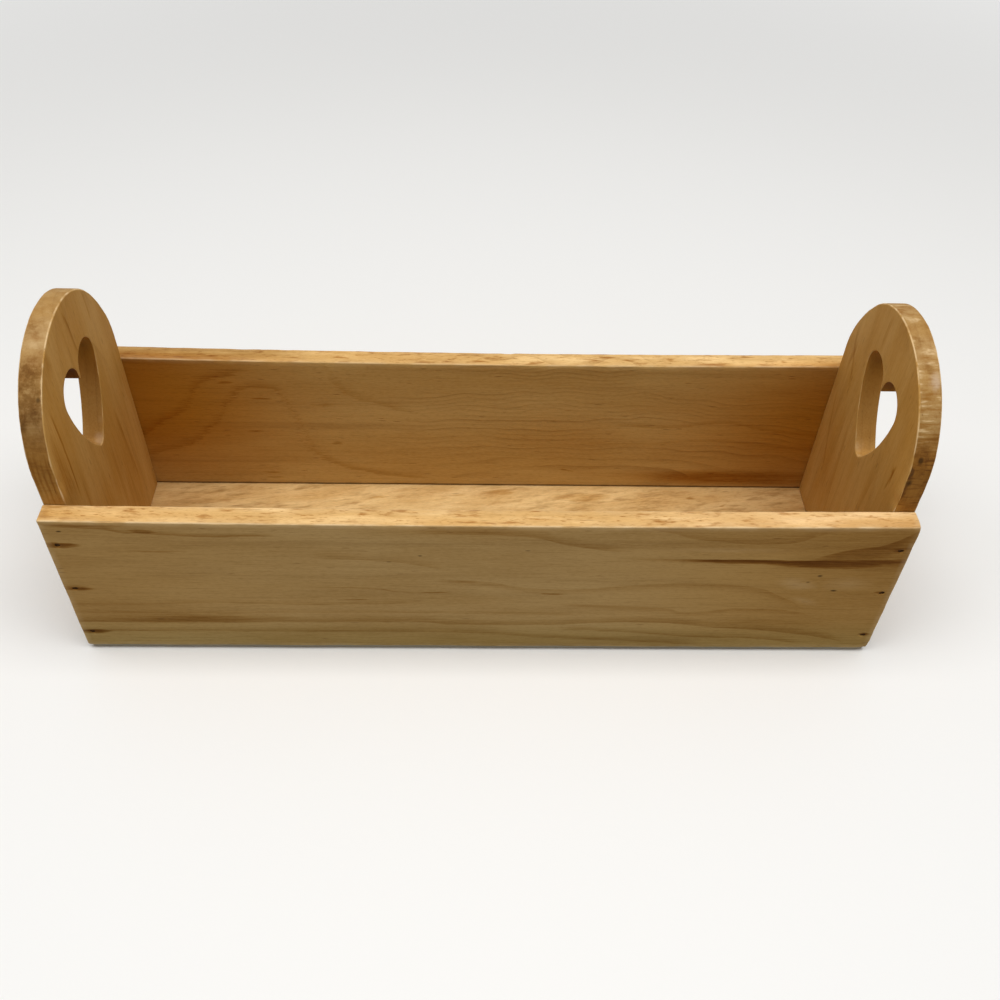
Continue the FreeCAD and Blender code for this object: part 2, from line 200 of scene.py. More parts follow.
def markMask(tree, place, marks):
    patches = []
    for one in marks:
        tilt = [math.radians(a) for a in one["tilt"]]
        local = addNode(tree, "Mapping", {0: place, 1: one["at"], 2: tilt, 3: one["size"]},
                        vector_type="TEXTURE")
        ball = addNode(tree, "TexGradient", {0: local.outputs[0]}, gradient_type="SPHERICAL")
        patches.append(easeBetween(tree, ball.outputs[1], 0.0, one["soft"], one["depth"]))
    return strongest(tree, patches)


# a drawn grain line: points (along, across) in mm, sharp on the line itself and fading out over fade mm
# above (+) or below (-) it; depth; how many mm it takes to run in at its ends
def grainLine(path, fade, depth, runIn=18):
    return {"path": path, "fade": fade, "depth": depth, "runIn": runIn}


# how high a drawn grain line lies at each place along the board
def lineHeight(tree, along, path):
    margin = 2
    low, high = path[0][0], path[-1][0]
    bottom, top = min(z for x, z in path) - margin, max(z for x, z in path) + margin
    share = addNode(tree, "MapRange", {0: along, 1: low, 2: high}).outputs[0]
    bender = addNode(tree, "FloatCurve", {1: share})
    curve = bender.mapping.curves[0]
    spots = [((x - low) / (high - low), (z - bottom) / (top - bottom)) for x, z in path]
    curve.points[0].location, curve.points[1].location = spots[0], spots[-1]
    for spot in spots[1:-1]:
        curve.points.new(*spot)
    bender.mapping.update()
    return addNode(tree, "MapRange", {0: bender.outputs[0], 3: bottom, 4: top}).outputs[0]


def lineMask(tree, grain, wood):
    along, across = splitAxes(tree, grain)[:2]
    sway = minus(tree, pattern(tree, grain, "lineSway"), 0.5)
    across = calc(tree, "MULTIPLY_ADD", sway, wood["sway"], across)
    tear = minus(tree, pattern(tree, grain, "lineTear"), 0.5)
    along = calc(tree, "MULTIPLY_ADD", tear, wood["tear"], along)
    masks = []
    for line in wood["lines"]:
        off = minus(tree, across, lineHeight(tree, along, line["path"]))
        sharp = math.copysign(wood["lineEdge"], line["fade"])
        first, last = line["path"][0][0], line["path"][-1][0]
        masks.append(times(tree, easeBetween(tree, off, -sharp, sharp, line["depth"]),
                           easeBetween(tree, off, line["fade"], 0.0),
                           easeBetween(tree, along, first, first + line["runIn"]),
                           easeBetween(tree, along, last, last - line["runIn"])))
    return strongest(tree, masks)


# colour of clean wood: broad clouds, then bands, growth rings, fibres and short dashes along the grain
def cleanWood(tree, grain, wood):
    clouds = grainNoise(tree, grain, wood["cloudLength"], wood["cloudWidth"], 40, 2.0, 1.7)
    bands = grainNoise(tree, grain, wood["bandLength"], wood["bandWidth"], 14, 3.0, 5.2)
    # calm stretches between lively ones
    lively = easeBetween(tree, pattern(tree, grain, "calmStretches"), 0.4, 0.6, wood["bandDepth"],
                         wood["bandDepth"] * wood["calm"])
    rings = growthRings(tree, grain, wood)
    fibres, paleFibres, flecks = [pattern(tree, grain, name) for name in ("fibres", "paleFibres", "flecks")]
    dashSpace = drawOut(tree, grain, *wood["dashSize"])
    cells = addNode(tree, "TexVoronoi", {"Vector": dashSpace, "Scale": 1.0}, feature="F1")
    chosen = addNode(tree, "SeparateColor", {0: cells.outputs["Color"]}).outputs[0]
    dashes = times(tree, easeBetween(tree, cells.outputs["Distance"], 0.36, 0.14),
                   easeBetween(tree, chosen, 1 - wood["dashShare"], 1.0))
    colour = blend(tree, easeBetween(tree, clouds, 0.32, 0.7), wood["pale"], wood["warm"])
    for amount, over in (
            (times(tree, easeBetween(tree, bands, 0.45, 0.78), lively), "brown"),
            (times(tree, rings, wood["ringDepth"]), "brown"),
            (easeBetween(tree, fibres, 0.46, 0.78, wood["fibreDepth"]), "brown"),
            (easeBetween(tree, paleFibres, 0.5, 0.8, wood["fibreDepth"]), "shine"),
            (easeBetween(tree, flecks, 0.5, 0.72, wood["fleckDepth"]), "brown"),
            (easeBetween(tree, flecks, 0.5, 0.28, wood["fleckDepth"]), "shine"),
            (times(tree, dashes, wood["dashDepth"]), "umber")):
        colour = blend(tree, amount, colour, wood[over])
    return colour, rings, fibres, dashes


# drawn grain lines, shades, a painted floor reflection, stains and pale spots, each at its own place on the
# board
def placedMarks(tree, where, colour, wood):
    grainy = easeBetween(tree, where["fibres"], 0.25, 0.75, 1.15, 0.65)
    if wood["lines"]:
        drawn = times(tree, lineMask(tree, where["grain"], wood), grainy, minus(tree, 1.0, where["onTop"]))
        colour = deepen(tree, drawn, colour, wood["umber"])
    if wood["shades"]:
        colour = tinted(tree, colour, wood["shadeTint"], markMask(tree, where["place"], wood["shades"]))
    # a painted reflection of the pale floor on the lowest part of the board
    if wood["floorReflectionTint"]:
        floorReflection = easeBetween(tree, where["height"], *wood["floorReflectionFade"])
        colour = tinted(tree, colour, wood["floorReflectionTint"], floorReflection)
    if wood["stains"]:
        stained = times(tree, markMask(tree, where["ruffled"], wood["stains"]), grainy)
        colour = deepen(tree, stained, colour, wood["umber"])
    # pale spots: mostly paler wood; at the hearts' tips they are painted highlights
    if wood["paleSpotsAndHighlights"]:
        colour = blend(tree, markMask(tree, where["ruffled"], wood["paleSpotsAndHighlights"]), colour, wood["wornAndHighlight"])
    return colour


# the upward edge is paler, partly from rubbing and partly as painted light from above, with paler stretches,
# brown blotches and fine flecks
def rubbedAndLitTop(tree, where, colour, wood):
    stretches = pattern(tree, where["grain"], "topStretches")
    blotches = grainNoise(tree, where["grain"], *wood["blotch"], None, 4.0, 12.6)
    flecks = pattern(tree, where["grain"], "topFlecks")
    # upward faces: paler wood, with painted light from above laid over it
    top = tinted(tree, colour, wood["topPaleAndLitTint"])
    for spots, low, high, tint in (
            (stretches, 0.48, 0.66, "stretchTint"),
            (blotches, 0.53, 0.70, "blotchTint"),
            (flecks, 0.58, 0.74, "blotchTint")):
        top = tinted(tree, top, wood[tint], easeBetween(tree, spots, low, high, wood["blotchDepth"]))
    return blend(tree, where["onTop"], colour, top)


# the sawn rim with its saw ripples, dirt and hand marks, and the heart's wall with hand dirt, painted shade
# high up and a painted cool reflection low down
def sawnEdges(tree, where, colour, wood):
    place, height = where["place"], where["height"]
    offFace = easeBetween(tree, calc(tree, "ABSOLUTE", where["facing"][0]), 0.75, 0.4)
    hole = mark((wood["middleX"], 0, wood["holeLevel"]), wood["holeReach"], 0.2, 1)
    inHole = markMask(tree, place, [hole])
    onRim = times(tree, offFace, minus(tree, 1.0, inHole))
    bleachedRim = times(tree, onRim, easeBetween(tree, height, *wood["bleachFrom"]))
    colour = tinted(tree, colour, wood["rimTint"], bleachedRim)
    ripple = pattern(tree, where["grain"], "sawRipple")
    rippled = times(tree, easeBetween(tree, ripple, 0.48, 0.68, wood["rimRipple"]), onRim)
    colour = blend(tree, rippled, colour, wood["brown"])
    crests = times(tree, easeBetween(tree, ripple, 0.46, 0.3, wood["rimRipple"] * 0.8), bleachedRim)
    colour = blend(tree, crests, colour, wood["wornAndHighlight"])
    dirt = plainNoise(tree, place, 0.11, 4.0, 0.6)[0]
    dirty = times(tree, easeBetween(tree, dirt, 0.44, 0.7, wood["rimDirt"]), onRim)
    colour = blend(tree, dirty, colour, wood["brown"])
    mottle = plainNoise(tree, place, 0.26, 5.0, 0.72)[0]
    handled = times(tree, markMask(tree, where["ruffled"], wood["rimMarks"]), onRim,
                    easeBetween(tree, mottle, 0.34, 0.64, 1.35, 0.3))
    # grip dirt round the hand-hole, deepened high up as painted shade
    gripDirtAndShade = times(tree, markMask(tree, place, wood["gripDirtAndShade"]), offFace)
    soiledAndShaded = calc(tree, "ADD", handled, gripDirtAndShade)
    colour = deepen(tree, soiledAndShaded, colour, wood["handDirtAndShade"])
    # the heart's wall: a painted cool reflection low down, painted shade high up
    wallReflectionAndShade = blend(tree, easeBetween(tree, height, *wood["wallFade"]), *wood["wallReflectionAndShadeTints"])
    colour = tinted(tree, colour, wallReflectionAndShade, times(tree, offFace, inHole))
    return colour, soiledAndShaded, times(tree, ripple, onRim)


def startFinish(name):
    finish = bpy.data.materials.new(name)
    finish.use_nodes = True
    finish.node_tree.nodes.clear()
    return finish, finish.node_tree


# strength and depth (mm) say how much the height shows in the light
def endFinish(tree, height, strength, depth, inputs):
    bump = addNode(tree, "Bump", {"Height": height, "Strength": strength, "Distance": depth * mm})
    shader = addNode(tree, "BsdfPrincipled", {**inputs, "Normal": bump.outputs[0]})
    addNode(tree, "OutputMaterial", {0: shader.outputs[0]})


def makeWood(name, wood):
    finish, tree = startFinish(name)
    coords = addNode(tree, "TexCoord")
    place = vectorCalc(tree, "MULTIPLY", coords.outputs["Object"], (1 / mm, 1 / mm, 1 / mm))
    grain = grainCoords(tree, wood["along"], place, wood["slant"])
    facing = splitAxes(tree, coords.outputs["Normal"])
    height = splitAxes(tree, place)[2]
    onTop = times(tree, easeBetween(tree, facing[2], 0.45, 0.9),
                  easeBetween(tree, height, wood["topFrom"], wood["topFrom"] + 2))
    colour, rings, fibres, dashes = cleanWood(tree, grain, wood)

    # stains have their edges pulled about along the grain
    ruffleSpace = drawOut(tree, grain, *wood["ruffleSize"])
    ruffle = vectorCalc(tree, "SUBTRACT", plainNoise(tree, ruffleSpace, 1.0, 3.0)["Color"], (0.5, 0.5, 0.5))
    ruffled = vectorCalc(tree, "ADD", place, vectorCalc(tree, "MULTIPLY", ruffle, wood["ruffle"]))
    where = {"grain": grain, "place": place, "ruffled": ruffled, "height": height, "facing": facing,
             "fibres": fibres, "onTop": onTop}
    colour = placedMarks(tree, where, colour, wood)
    colour = rubbedAndLitTop(tree, where, colour, wood)
    onEnd = easeBetween(tree, calc(tree, "ABSOLUTE", facing[grainOrder[wood["along"]][0]]), 0.55, 0.95)
    colour = tinted(tree, colour, wood["endTint"], onEnd)
    if wood["edgeColour"]:
        onEdge = easeBetween(tree, calc(tree, "ABSOLUTE", facing[2]), 0.7, 0.3)
        layers = blend(tree, pattern(tree, grain, "sheetLayers"), *wood["edgeColour"])
        colour = blend(tree, onEdge, colour, layers)
    if wood["sawn"]:
        colour, soiledAndShaded, sawRipple = sawnEdges(tree, where, colour, wood)
    if wood["specksAndShadowLines"]:
        colour = blend(tree, markMask(tree, place, wood["specksAndShadowLines"]), colour, wood["sootAndShadow"])

    # arrises paler from wear and as a painted highlight, less where dirt and painted shade lie over them
    arris = addNode(tree, "Attribute", attribute_name="arris").outputs["Fac"]
    patchy = easeBetween(tree, pattern(tree, grain, "arrisPatches"), 0.36, 0.62, 1.0, wood["arrisLeast"])
    rubbedAndLit = times(tree, arris, patchy, wood["arrisWearAndHighlight"])
    if wood["sawn"]:
        rubbedAndLit = times(tree, rubbedAndLit, easeBetween(tree, soiledAndShaded, 0.6, 0.1, 1.0, 0.2))
    colour = blend(tree, rubbedAndLit, colour, wood["wornAndHighlight"])

    # sheen and relief: hollows (-) and swellings (+) add up
    rough = easeBetween(tree, fibres, 0.3, 0.75, wood["rough"] + 0.1, wood["rough"] - 0.06)
    rough = minus(tree, rough, times(tree, rubbedAndLit, 0.08))
    reliefs = [(rings, -0.35), (fibres, -0.5), (dashes, -0.8), (pattern(tree, grain, "swell"), 0.25)]
    if wood["sawn"]:
        reliefs.append((sawRipple, -1.3))
    relief = 0.0
    for rise, share in reliefs:
        relief = calc(tree, "MULTIPLY_ADD", rise, share, relief)
    endFinish(tree, relief, 0.55, wood["relief"], {"Base Color": colour, "Roughness": rough, "IOR": 1.45,
                                                   "Specular IOR Level": wood["sheen"]})
    return finish


# what all five boards have in common; each board then changes what differs. Lengths and heights are in mm,
# tints multiply the colour under them, and a depth says how strongly a layer shows
plainWood = {
    "along": "X", "slant": 0,
    "pale": (0.490, 0.316, 0.126), "warm": (0.415, 0.250, 0.086), "brown": (0.225, 0.118, 0.030),
    # the near-black below is for dark flecks and painted shadow lines
    "umber": (0.140, 0.052, 0.005), "sootAndShadow": (0.024, 0.011, 0.004), "shine": (0.56, 0.37, 0.145),
    # a pale wood colour, for wear and for painted highlights on arrises and at the hearts' tips
    "wornAndHighlight": (0.84, 0.63, 0.36),
    # upward faces are made paler by the top tint: paler edge grain and rubbing, and painted light from above
    "topFrom": 98, "topPaleAndLitTint": (1.50, 1.44, 1.42), "stretchTint": (1.20, 1.30, 1.52),
    "blotch": (13, 2.6), "blotchTint": (0.60, 0.44, 0.27), "blotchDepth": 0.95,
    "endTint": (0.80, 0.76, 0.70), "edgeColour": None,
    "cloudLength": 150, "cloudWidth": 34, "bandLength": 220, "bandWidth": 7, "bandDepth": 0.24,
    "calm": 0.6,
    # rings lie round the pith and flare by taper away from taperFrom; they set in over ringsFrom
    "pith": (90, 40), "ringGap": 4.2, "ringSharpness": 5.0, "ringDepth": 0.3, "ringsFrom": (-400, -399),
    "taperFrom": 0, "taper": 0.0002, "wander": 6, "wanderLength": 140,
    "fibreDepth": 0.24, "fleckDepth": 0.16,
    "dashSize": (9, 1.4, 1.1), "dashShare": 0.10, "dashDepth": 0.42,
    "ruffle": (10, 10, 2.2), "ruffleSize": (16, 3.2, 5.0),  # how far stains' edges are pulled about
    "sway": 2.4, "tear": 0, "lineEdge": 0.45, "lines": [],
    "shades": [], "shadeTint": (0.90, 0.80, 0.60), "floorReflectionTint": None, "floorReflectionFade": (36, 6),
    "stains": [], "paleSpotsAndHighlights": [], "specksAndShadowLines": [],
    "arrisWearAndHighlight": 0.9, "arrisLeast": 0.35, "rough": 0.62, "sheen": 0.06, "relief": 0.22, "sawn": False,
}


# wood lost to hands and knocks: middle, reach and depth in mm
def dent(at, reach, depth):
    return {"at": at, "reach": reach, "depth": depth}


# grid lines from low to high: close together over the rounded arris, then even steps
def gridLines(low, high, rim, step):
    turns = 4
    edge = [rim * k / turns for k in range(turns + 1)]
    middle = high - low - 2 * rim
    count = max(1, round(middle / step))
    inner = [rim + middle * k / count for k in range(1, count)]
    return [low + d for d in edge + inner] + [high - d for d in reversed(edge)]


def meshObject(name, points, faces, arris):
    mesh = bpy.data.meshes.new(name)
    mesh.from_pydata([tuple(p) for p in points], [], faces)
    layer = mesh.attributes.new("arris", "FLOAT", "POINT")
    layer.data.foreach_set("value", arris)
    mesh.shade_smooth()
    mesh.update()
    made = bpy.data.objects.new(name, mesh)
    bpy.context.scene.collection.objects.link(made)
    return made


# a plank with rounded arrises, between two corners
def makePlank(name, low, high, shape):
    rim = shape["arris"] * mm
    lines = [gridLines(low[a], high[a], rim, shape["grid"][a] * mm) for a in range(3)]
    points, faces, arris, index = [], [], [], {}

    def pointAt(key):
        if key not in index:
            q = Vector([lines[a][key[a]] for a in range(3)])
            core = Vector([min(max(q[a], low[a] + rim), high[a] - rim) for a in range(3)])
            away = q - core
            index[key] = len(points)
            points.append(core + away.normalized() * rim)
            nearest = sorted(min(q[a] - low[a], high[a] - q[a]) for a in range(3))
            arris.append(1.0 - min(1.0, nearest[1] / (shape["arrisBand"] * mm)))
        return index[key]

    for axis in range(3):
        b, c = (axis + 1) % 3, (axis + 2) % 3
        for side in (0, len(lines[axis]) - 1):
            for m in range(len(lines[b]) - 1):
                for n in range(len(lines[c]) - 1):
                    quad = []
                    for dm, dn in ((0, 0), (1, 0), (1, 1), (0, 1)):
                        key = [0, 0, 0]
                        key[axis], key[b], key[c] = side, m + dm, n + dn
                        quad.append(pointAt(tuple(key)))
                    faces.append(quad if side else quad[::-1])
    return meshObject(name, points, faces, arris)


# over how many mm the wear changes: waves in x, y and z, then coarse and fine rubbing
wearLengths = {"wave": (60, 25, 25), "rub": 11, "fineRub": 3.5}


# hand wear: the surface waves slightly, and arrises and dents lose some wood
def wearDown(piece, wear):
    mesh = piece.data
    arris = [0.0] * len(mesh.vertices)
    mesh.attributes["arris"].data.foreach_get("value", arris)
    normals = [v.normal.copy() for v in mesh.vertices]
    offset = Vector((wear["seed"] * 7.3, wear["seed"] * 3.1, wear["seed"] * 5.7))
    waveX, waveY, waveZ = wearLengths["wave"]
    for v, edge, normal in zip(mesh.vertices, arris, normals):
        at = v.co / mm
        wave = 0.5 + 0.5 * noise.noise(Vector((at.x / waveX, at.y / waveY, at.z / waveZ)) + offset)
        rub = max(0.0, noise.noise(at / wearLengths["rub"] + offset) + 0.15)
        rub += 0.5 * max(0.0, noise.noise(at / wearLengths["fineRub"] + offset))
        loss = wear["wave"] * wave + wear["rub"] * rub * edge
        for knock in wear["dents"]:
            gone = 1.0 - (at - Vector(knock["at"])).length / knock["reach"]
            if gone > 0:
                loss += knock["depth"] * gone * gone * (3 - 2 * gone)
        v.co -= normal * loss * mm
    mesh.update()


# the upper edge dips towards the middle of its length
def dipTopEdge(piece, low, high, dip):
    half = (high.x - low.x) / 2
    middle = (high.x + low.x) / 2
    for v in piece.data.vertices:
        t = (v.co.x - middle) / half
        v.co.z -= dip * mm * (1 - t * t) * (v.co.z - low.z) / (high.z - low.z)


def keepEvaluated(piece):
    graph = bpy.context.evaluated_depsgraph_get()
    shown = piece.evaluated_get(graph)
    mesh = bpy.data.meshes.new_from_object(shown, preserve_all_data_layers=True, depsgraph=graph)
    piece.modifiers.clear()
    piece.data = mesh


def crossAxes(inward):
    lengthwise = Vector((1, 0, 0))
    return lengthwise, inward.cross(lengthwise).normalized()


# cuts ragged-edged mouths in a board, one for each (middle, direction into the wood)
def cutMouths(piece, spots, mouth):
    points, faces = [], []
    for number, (middle, inward) in enumerate(spots):
        lengthwise, upright = crossAxes(inward)
        start = len(points)
        for depth in (-1.0, mouth["depth"]):
            for k in range(mouth["sides"]):
                turn = 2 * math.pi * k / mouth["sides"]
                seed = Vector((math.cos(turn) * 1.7, math.sin(turn) * 1.7, number * 4.1))
                ragged = 1 + mouth["ragged"] * noise.noise(seed)
                points.append(middle + (lengthwise * math.cos(turn) * mouth["length"] * ragged
                                        + upright * math.sin(turn) * mouth["height"] * ragged
                                        + inward * depth) * mm)
        n = mouth["sides"]
        faces.append([start + k for k in reversed(range(n))])
        faces.append([start + n + k for k in range(n)])
        faces += [[start + k, start + (k + 1) % n, start + n + (k + 1) % n, start + n + k] for k in range(n)]
    cutter = meshObject("mouthCutter", points, faces, [0.0] * len(points))
    cut = piece.modifiers.new("mouths", "BOOLEAN")
    cut.object, cut.operation, cut.solver = cutter, "DIFFERENCE", "EXACT"
    keepEvaluated(piece)
    bpy.data.objects.remove(cutter)


def dress(piece, finish, slotName, *nodes):
    piece.data.materials.clear()
    piece.data.materials.append(finish)
    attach(piece, "root")
    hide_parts(*nodes)


def middleOf(node):
    low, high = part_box(node)
    return (low + high) / 2


ends = ("left", "right")
nailPlaces = [(end, level) for end in ends for level in ("low", "middle", "high")]

# faces and edges on which the marks lie, in mm
frontFace = round(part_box("front_board")[0].y / mm, 2)
innerFace = round(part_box("back_board")[0].y / mm, 2)
outerFace = round(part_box("back_board")[1].y / mm, 2)
boardEnd = round(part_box("front_board")[1].x / mm, 2)
boardTop = round(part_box("front_board")[1].z / mm, 2)
sheetTop = round(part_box("bottom_panel")[1].z / mm, 2)
leftFace = round(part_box("left_end_panel")[1].x / mm, 2)
rightFace = round(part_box("right_end_panel")[0].x / mm, 2)
leftMiddle, rightMiddle = [round(middleOf(f"{end}_end_panel").x / mm, 2) for end in ends]


# length and height of mouths and plugs are half sizes in mm
nailMouth = {"length": 1.6, "height": 1.05, "depth": 2.3, "sides": 18, "ragged": 0.35}
nailStain = {  # drift is how far the middle of a smear lies to the right of its nail
    "left": {"size": (11, 4, 2.9), "soft": 0.9, "depth": 1.6, "drift": 1.8},
    "right": {"size": (4.6, 4, 2.4), "soft": 0.8, "depth": 1.3, "drift": -0.6},
}


# middle of each plug's face on a long board, with the direction into the wood
def plugSpots(face):
    inward = Vector((0, 1 if face == "front" else -1, 0))
    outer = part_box(f"{face}_board")[0 if face == "front" else 1].y
    spots = []
    for end, level in nailPlaces:
        at = middleOf(f"filler_{face}_{end}_{level}")
        spots.append((Vector((at.x, outer, at.z)), inward))
    return spots


# dark smears drawn along the grain from each plug on one long board
def nailStains(face):
    found = []
    for end, level in nailPlaces:
        smear = nailStain[end]
        low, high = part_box(f"filler_{face}_{end}_{level}")
        at = (low + high) / 2 / mm
        found.append(mark((at.x + smear["drift"], at.y, at.z), smear["size"], smear["soft"], smear["depth"]))
    return found


def buildLongBoard(side, box, board, wood):
    low, high = box
    plank = makePlank(f"{side}BoardWood", low, high, board["shape"])
    wearDown(plank, board["wear"])
    dipTopEdge(plank, low, high, board["dip"])
    cutMouths(plank, plugSpots(side), nailMouth)
    finish = makeWood(f"{side}BoardFinish", {**wood, "stains": wood["stains"] + nailStains(side)})
    dress(plank, finish, "face_wood", f"{side}_board")
    print(side, "board built,", len(plank.data.polygons), "faces")


longShape = {"arris": 1.0, "arrisBand": 1.3, "grid": (3.0, 3.0, 3.0)}

frontBoard = {
    "shape": longShape,
    "wear": {"seed": 1, "wave": 0.12, "rub": 0.45, "dents": [
        dent((boardEnd, frontFace, sheetTop), 7, 0.6),
        dent((-boardEnd, frontFace, sheetTop), 5, 0.3),
        dent((-35.2, -70.5, boardTop), 4, 0.5),
        dent((-124, frontFace, boardTop), 7, 0.4),
        dent((226, frontFace, boardTop), 5, 0.6),
    ]},
    "dip": 1.4,
}

frontWood = {
    **plainWood,
    "pith": (70, -20), "ringGap": 5.2, "taperFrom": -40, "taper": -0.00006, "wander": 5, "ringDepth": 0.22,
    # the lowest part of the face is cooled by a painted reflection of the pale floor
    "dashShare": 0.06, "sway": 1.6, "fibreDepth": 0.30, "fleckDepth": 0.2, "floorReflectionTint": (0.92, 1.03, 1.06),
    "shades": [
        mark((210, frontFace, 62), (190, 12, 130), 0.8, 1.0),
        mark((-230, frontFace, 62), (190, 12, 130), 0.9, 0.7),
        mark((-10, frontFace, 106), (90, 8, 14), 1.0, 0.6),
        mark((0, frontFace, 2), (480, 12, 30), 1.0, 0.6),
    ],
    "lines": [
        grainLine([(70, 84), (98, 81.7), (144, 81.2), (160, 80.6), (191, 81.7), (214, 82.3), (250, 84)],
                   -3.4, 0.9, 60),
        grainLine([(140, 81.2), (160, 80.6), (191, 81.7), (214, 82.3), (250, 84)], -9, 0.7, 40),
        grainLine([(172, 80), (194, 89.9), (208, 92.7), (217, 97.5), (232, 112)], -16, 0.62),
        grainLine([(66, 108), (90, 103.7), (121, 95.9), (153, 94), (175, 101), (195, 110)], 9, 0.26, 30),
        grainLine([(-45, 99.8), (19, 98.5), (44, 92.1), (70, 87.4), (84, 86.5)], 8, 0.34, 26),
        grainLine([(-30, 64), (5, 61.3), (21, 57.4), (47, 56), (80, 59.5), (122, 61.6), (149, 58.6),
                   (162, 52.9), (183, 38)], -7, 0.22),
        grainLine([(-100, 56), (-57, 55), (-47, 52.7), (-18, 52)], 1.6, 0.36, 30),
        grainLine([(-95, 80.5), (-61, 78.9), (-46, 77.5), (-15, 68)], 9, 0.2),
        grainLine([(-250, 25.1), (-147, 25.1), (-86, 25.7), (-32, 26), (-21, 24.3), (39, 24.4), (84, 27),
                   (134, 22.3), (162, 19.8), (215, 6)], 7, 0.42),
        grainLine([(-250, 16), (-138, 16.6), (-21, 16.6), (34, 12.5), (86, 9.2), (130, 5)], 5, 0.3),
        grainLine([(40, 20), (85, 17.4), (125, 13.1), (153, 12.4), (190, 5)], 5, 0.32),
        grainLine([(40, 44), (82, 41.2), (104, 39.6), (115, 36.3), (147, 40), (190, 30)], -5, 0.24),
        grainLine([(-250, 40.3), (-187, 40.6), (-144, 42.6), (-102, 41.3), (-30, 44)], 4, 0.22),
        grainLine([(-250, 33.5), (-187, 33.0), (-60, 34.5), (60, 33)], 3.5, 0.2),
        grainLine([(-226, 103.0), (-198, 102), (-184, 99.2), (-164, 98), (-150, 96.7), (-105, 98)], 3.6,
                   0.5, 14),
    ],
    "stains": [
        mark((146, frontFace, 79.9), (46, 6, 2.0), 0.5, 1.0, (0, 0.6, 0)),
        mark((185, frontFace, 78.2), (38, 6, 3.8), 0.5, 1.0, (0, 0.8, 0)),
        mark((214, frontFace, 80.2), (24, 6, 2.3), 0.6, 0.8),
        mark((230, frontFace, 84), (90, 9, 60), 1.0, 0.24),
        mark((0, frontFace, 4), (420, 9, 26), 1.0, 0.14),
        mark((-175, frontFace, 100.4), (8, 5, 1.7), 0.6, 0.6, (0, 4, 0)),
        mark((-200, frontFace, 104.5), (34, 5, 1.2), 0.7, 0.35, (0, 1, 0)),
        mark((-171, frontFace, 85.3), (18, 5, 0.9), 0.7, 0.30),
        mark((-158, frontFace, 28.5), (70, 6, 6.2), 1.0, 0.52),
        mark((150, frontFace, 27.5), (60, 6, 5.0), 1.0, 0.20, (0, 2, 0)),
        mark((-5, frontFace, 103.5), (60, 6, 5.5), 1.0, 0.14),
        mark((37, frontFace, 52.0), (9, 4, 0.9), 0.6, 0.6),
        mark((-27, frontFace, 52.3), (11, 4, 0.7), 0.6, 0.55),
        mark((-70, frontFace, 45.8), (9, 4, 0.7), 0.6, 0.5),
        mark((-10, frontFace, 61.5), (12, 4, 1.8), 0.8, 0.26),
        mark((222, frontFace, 91), (13, 4, 3.2), 0.8, 0.65, (0, -12, 0)),
        mark((-216, -61.8, boardTop), (18, 1.8, 3), 0.8, 0.6),
        mark((-224, -67.5, boardTop), (6, 5, 3), 0.9, 0.45),
    ],
    "paleSpotsAndHighlights": [
        mark((172, frontFace, 61.5), (15, 4, 7), 0.8, 0.14, (0, 12, 0)),
        mark((199, frontFace, 62), (18, 4, 8), 1.0, 0.10),
        mark((180, frontFace, 47), (12, 4, 4), 0.9, 0.10, (0, 20, 0)),
        mark((150, -66, boardTop), (150, 14, 4), 1.0, 0.22),
        mark((130, frontFace, 89), (46, 4, 3.4), 1.0, 0.09),
    ],
    "specksAndShadowLines": [
        mark((182.8, frontFace, 68.7), (2.0, 2, 1.2), 0.8, 0.75),
        mark((177.5, frontFace, 63.3), (1.6, 2, 1.0), 0.8, 0.5),
        mark((193.4, frontFace, 56.2), (2.6, 2, 1.1), 0.8, 0.8),
        mark((-217.5, frontFace, 100.0), (1.9, 2, 0.8), 0.7, 0.8),
        mark((-33.7, frontFace, 83.0), (1.7, 2, 0.8), 0.8, 0.6),
        mark((23.1, frontFace, 87.6), (2.2, 2, 0.7), 0.8, 0.5),
        mark((-50.3, frontFace, 78.0), (2.2, 2, 0.7), 0.8, 0.45),
        mark((-35.2, -69.3, boardTop), (3.4, 1.1, 2), 0.8, 0.6, (0, 0, 24)),
        mark((-77, -71.8, boardTop), (1.6, 0.8, 2), 0.8, 0.6),
        mark((112, -67.5, boardTop), (1.1, 0.7, 2), 0.8, 0.6),
    ],
}


backBoard = {
    "shape": longShape,
    "wear": {"seed": 2, "wave": 0.12, "rub": 0.45, "dents": [
        dent((-92, innerFace, boardTop), 6, 0.5),
        dent((15, outerFace, boardTop), 5, 0.4),
    ]},
    "dip": 1.9,
}

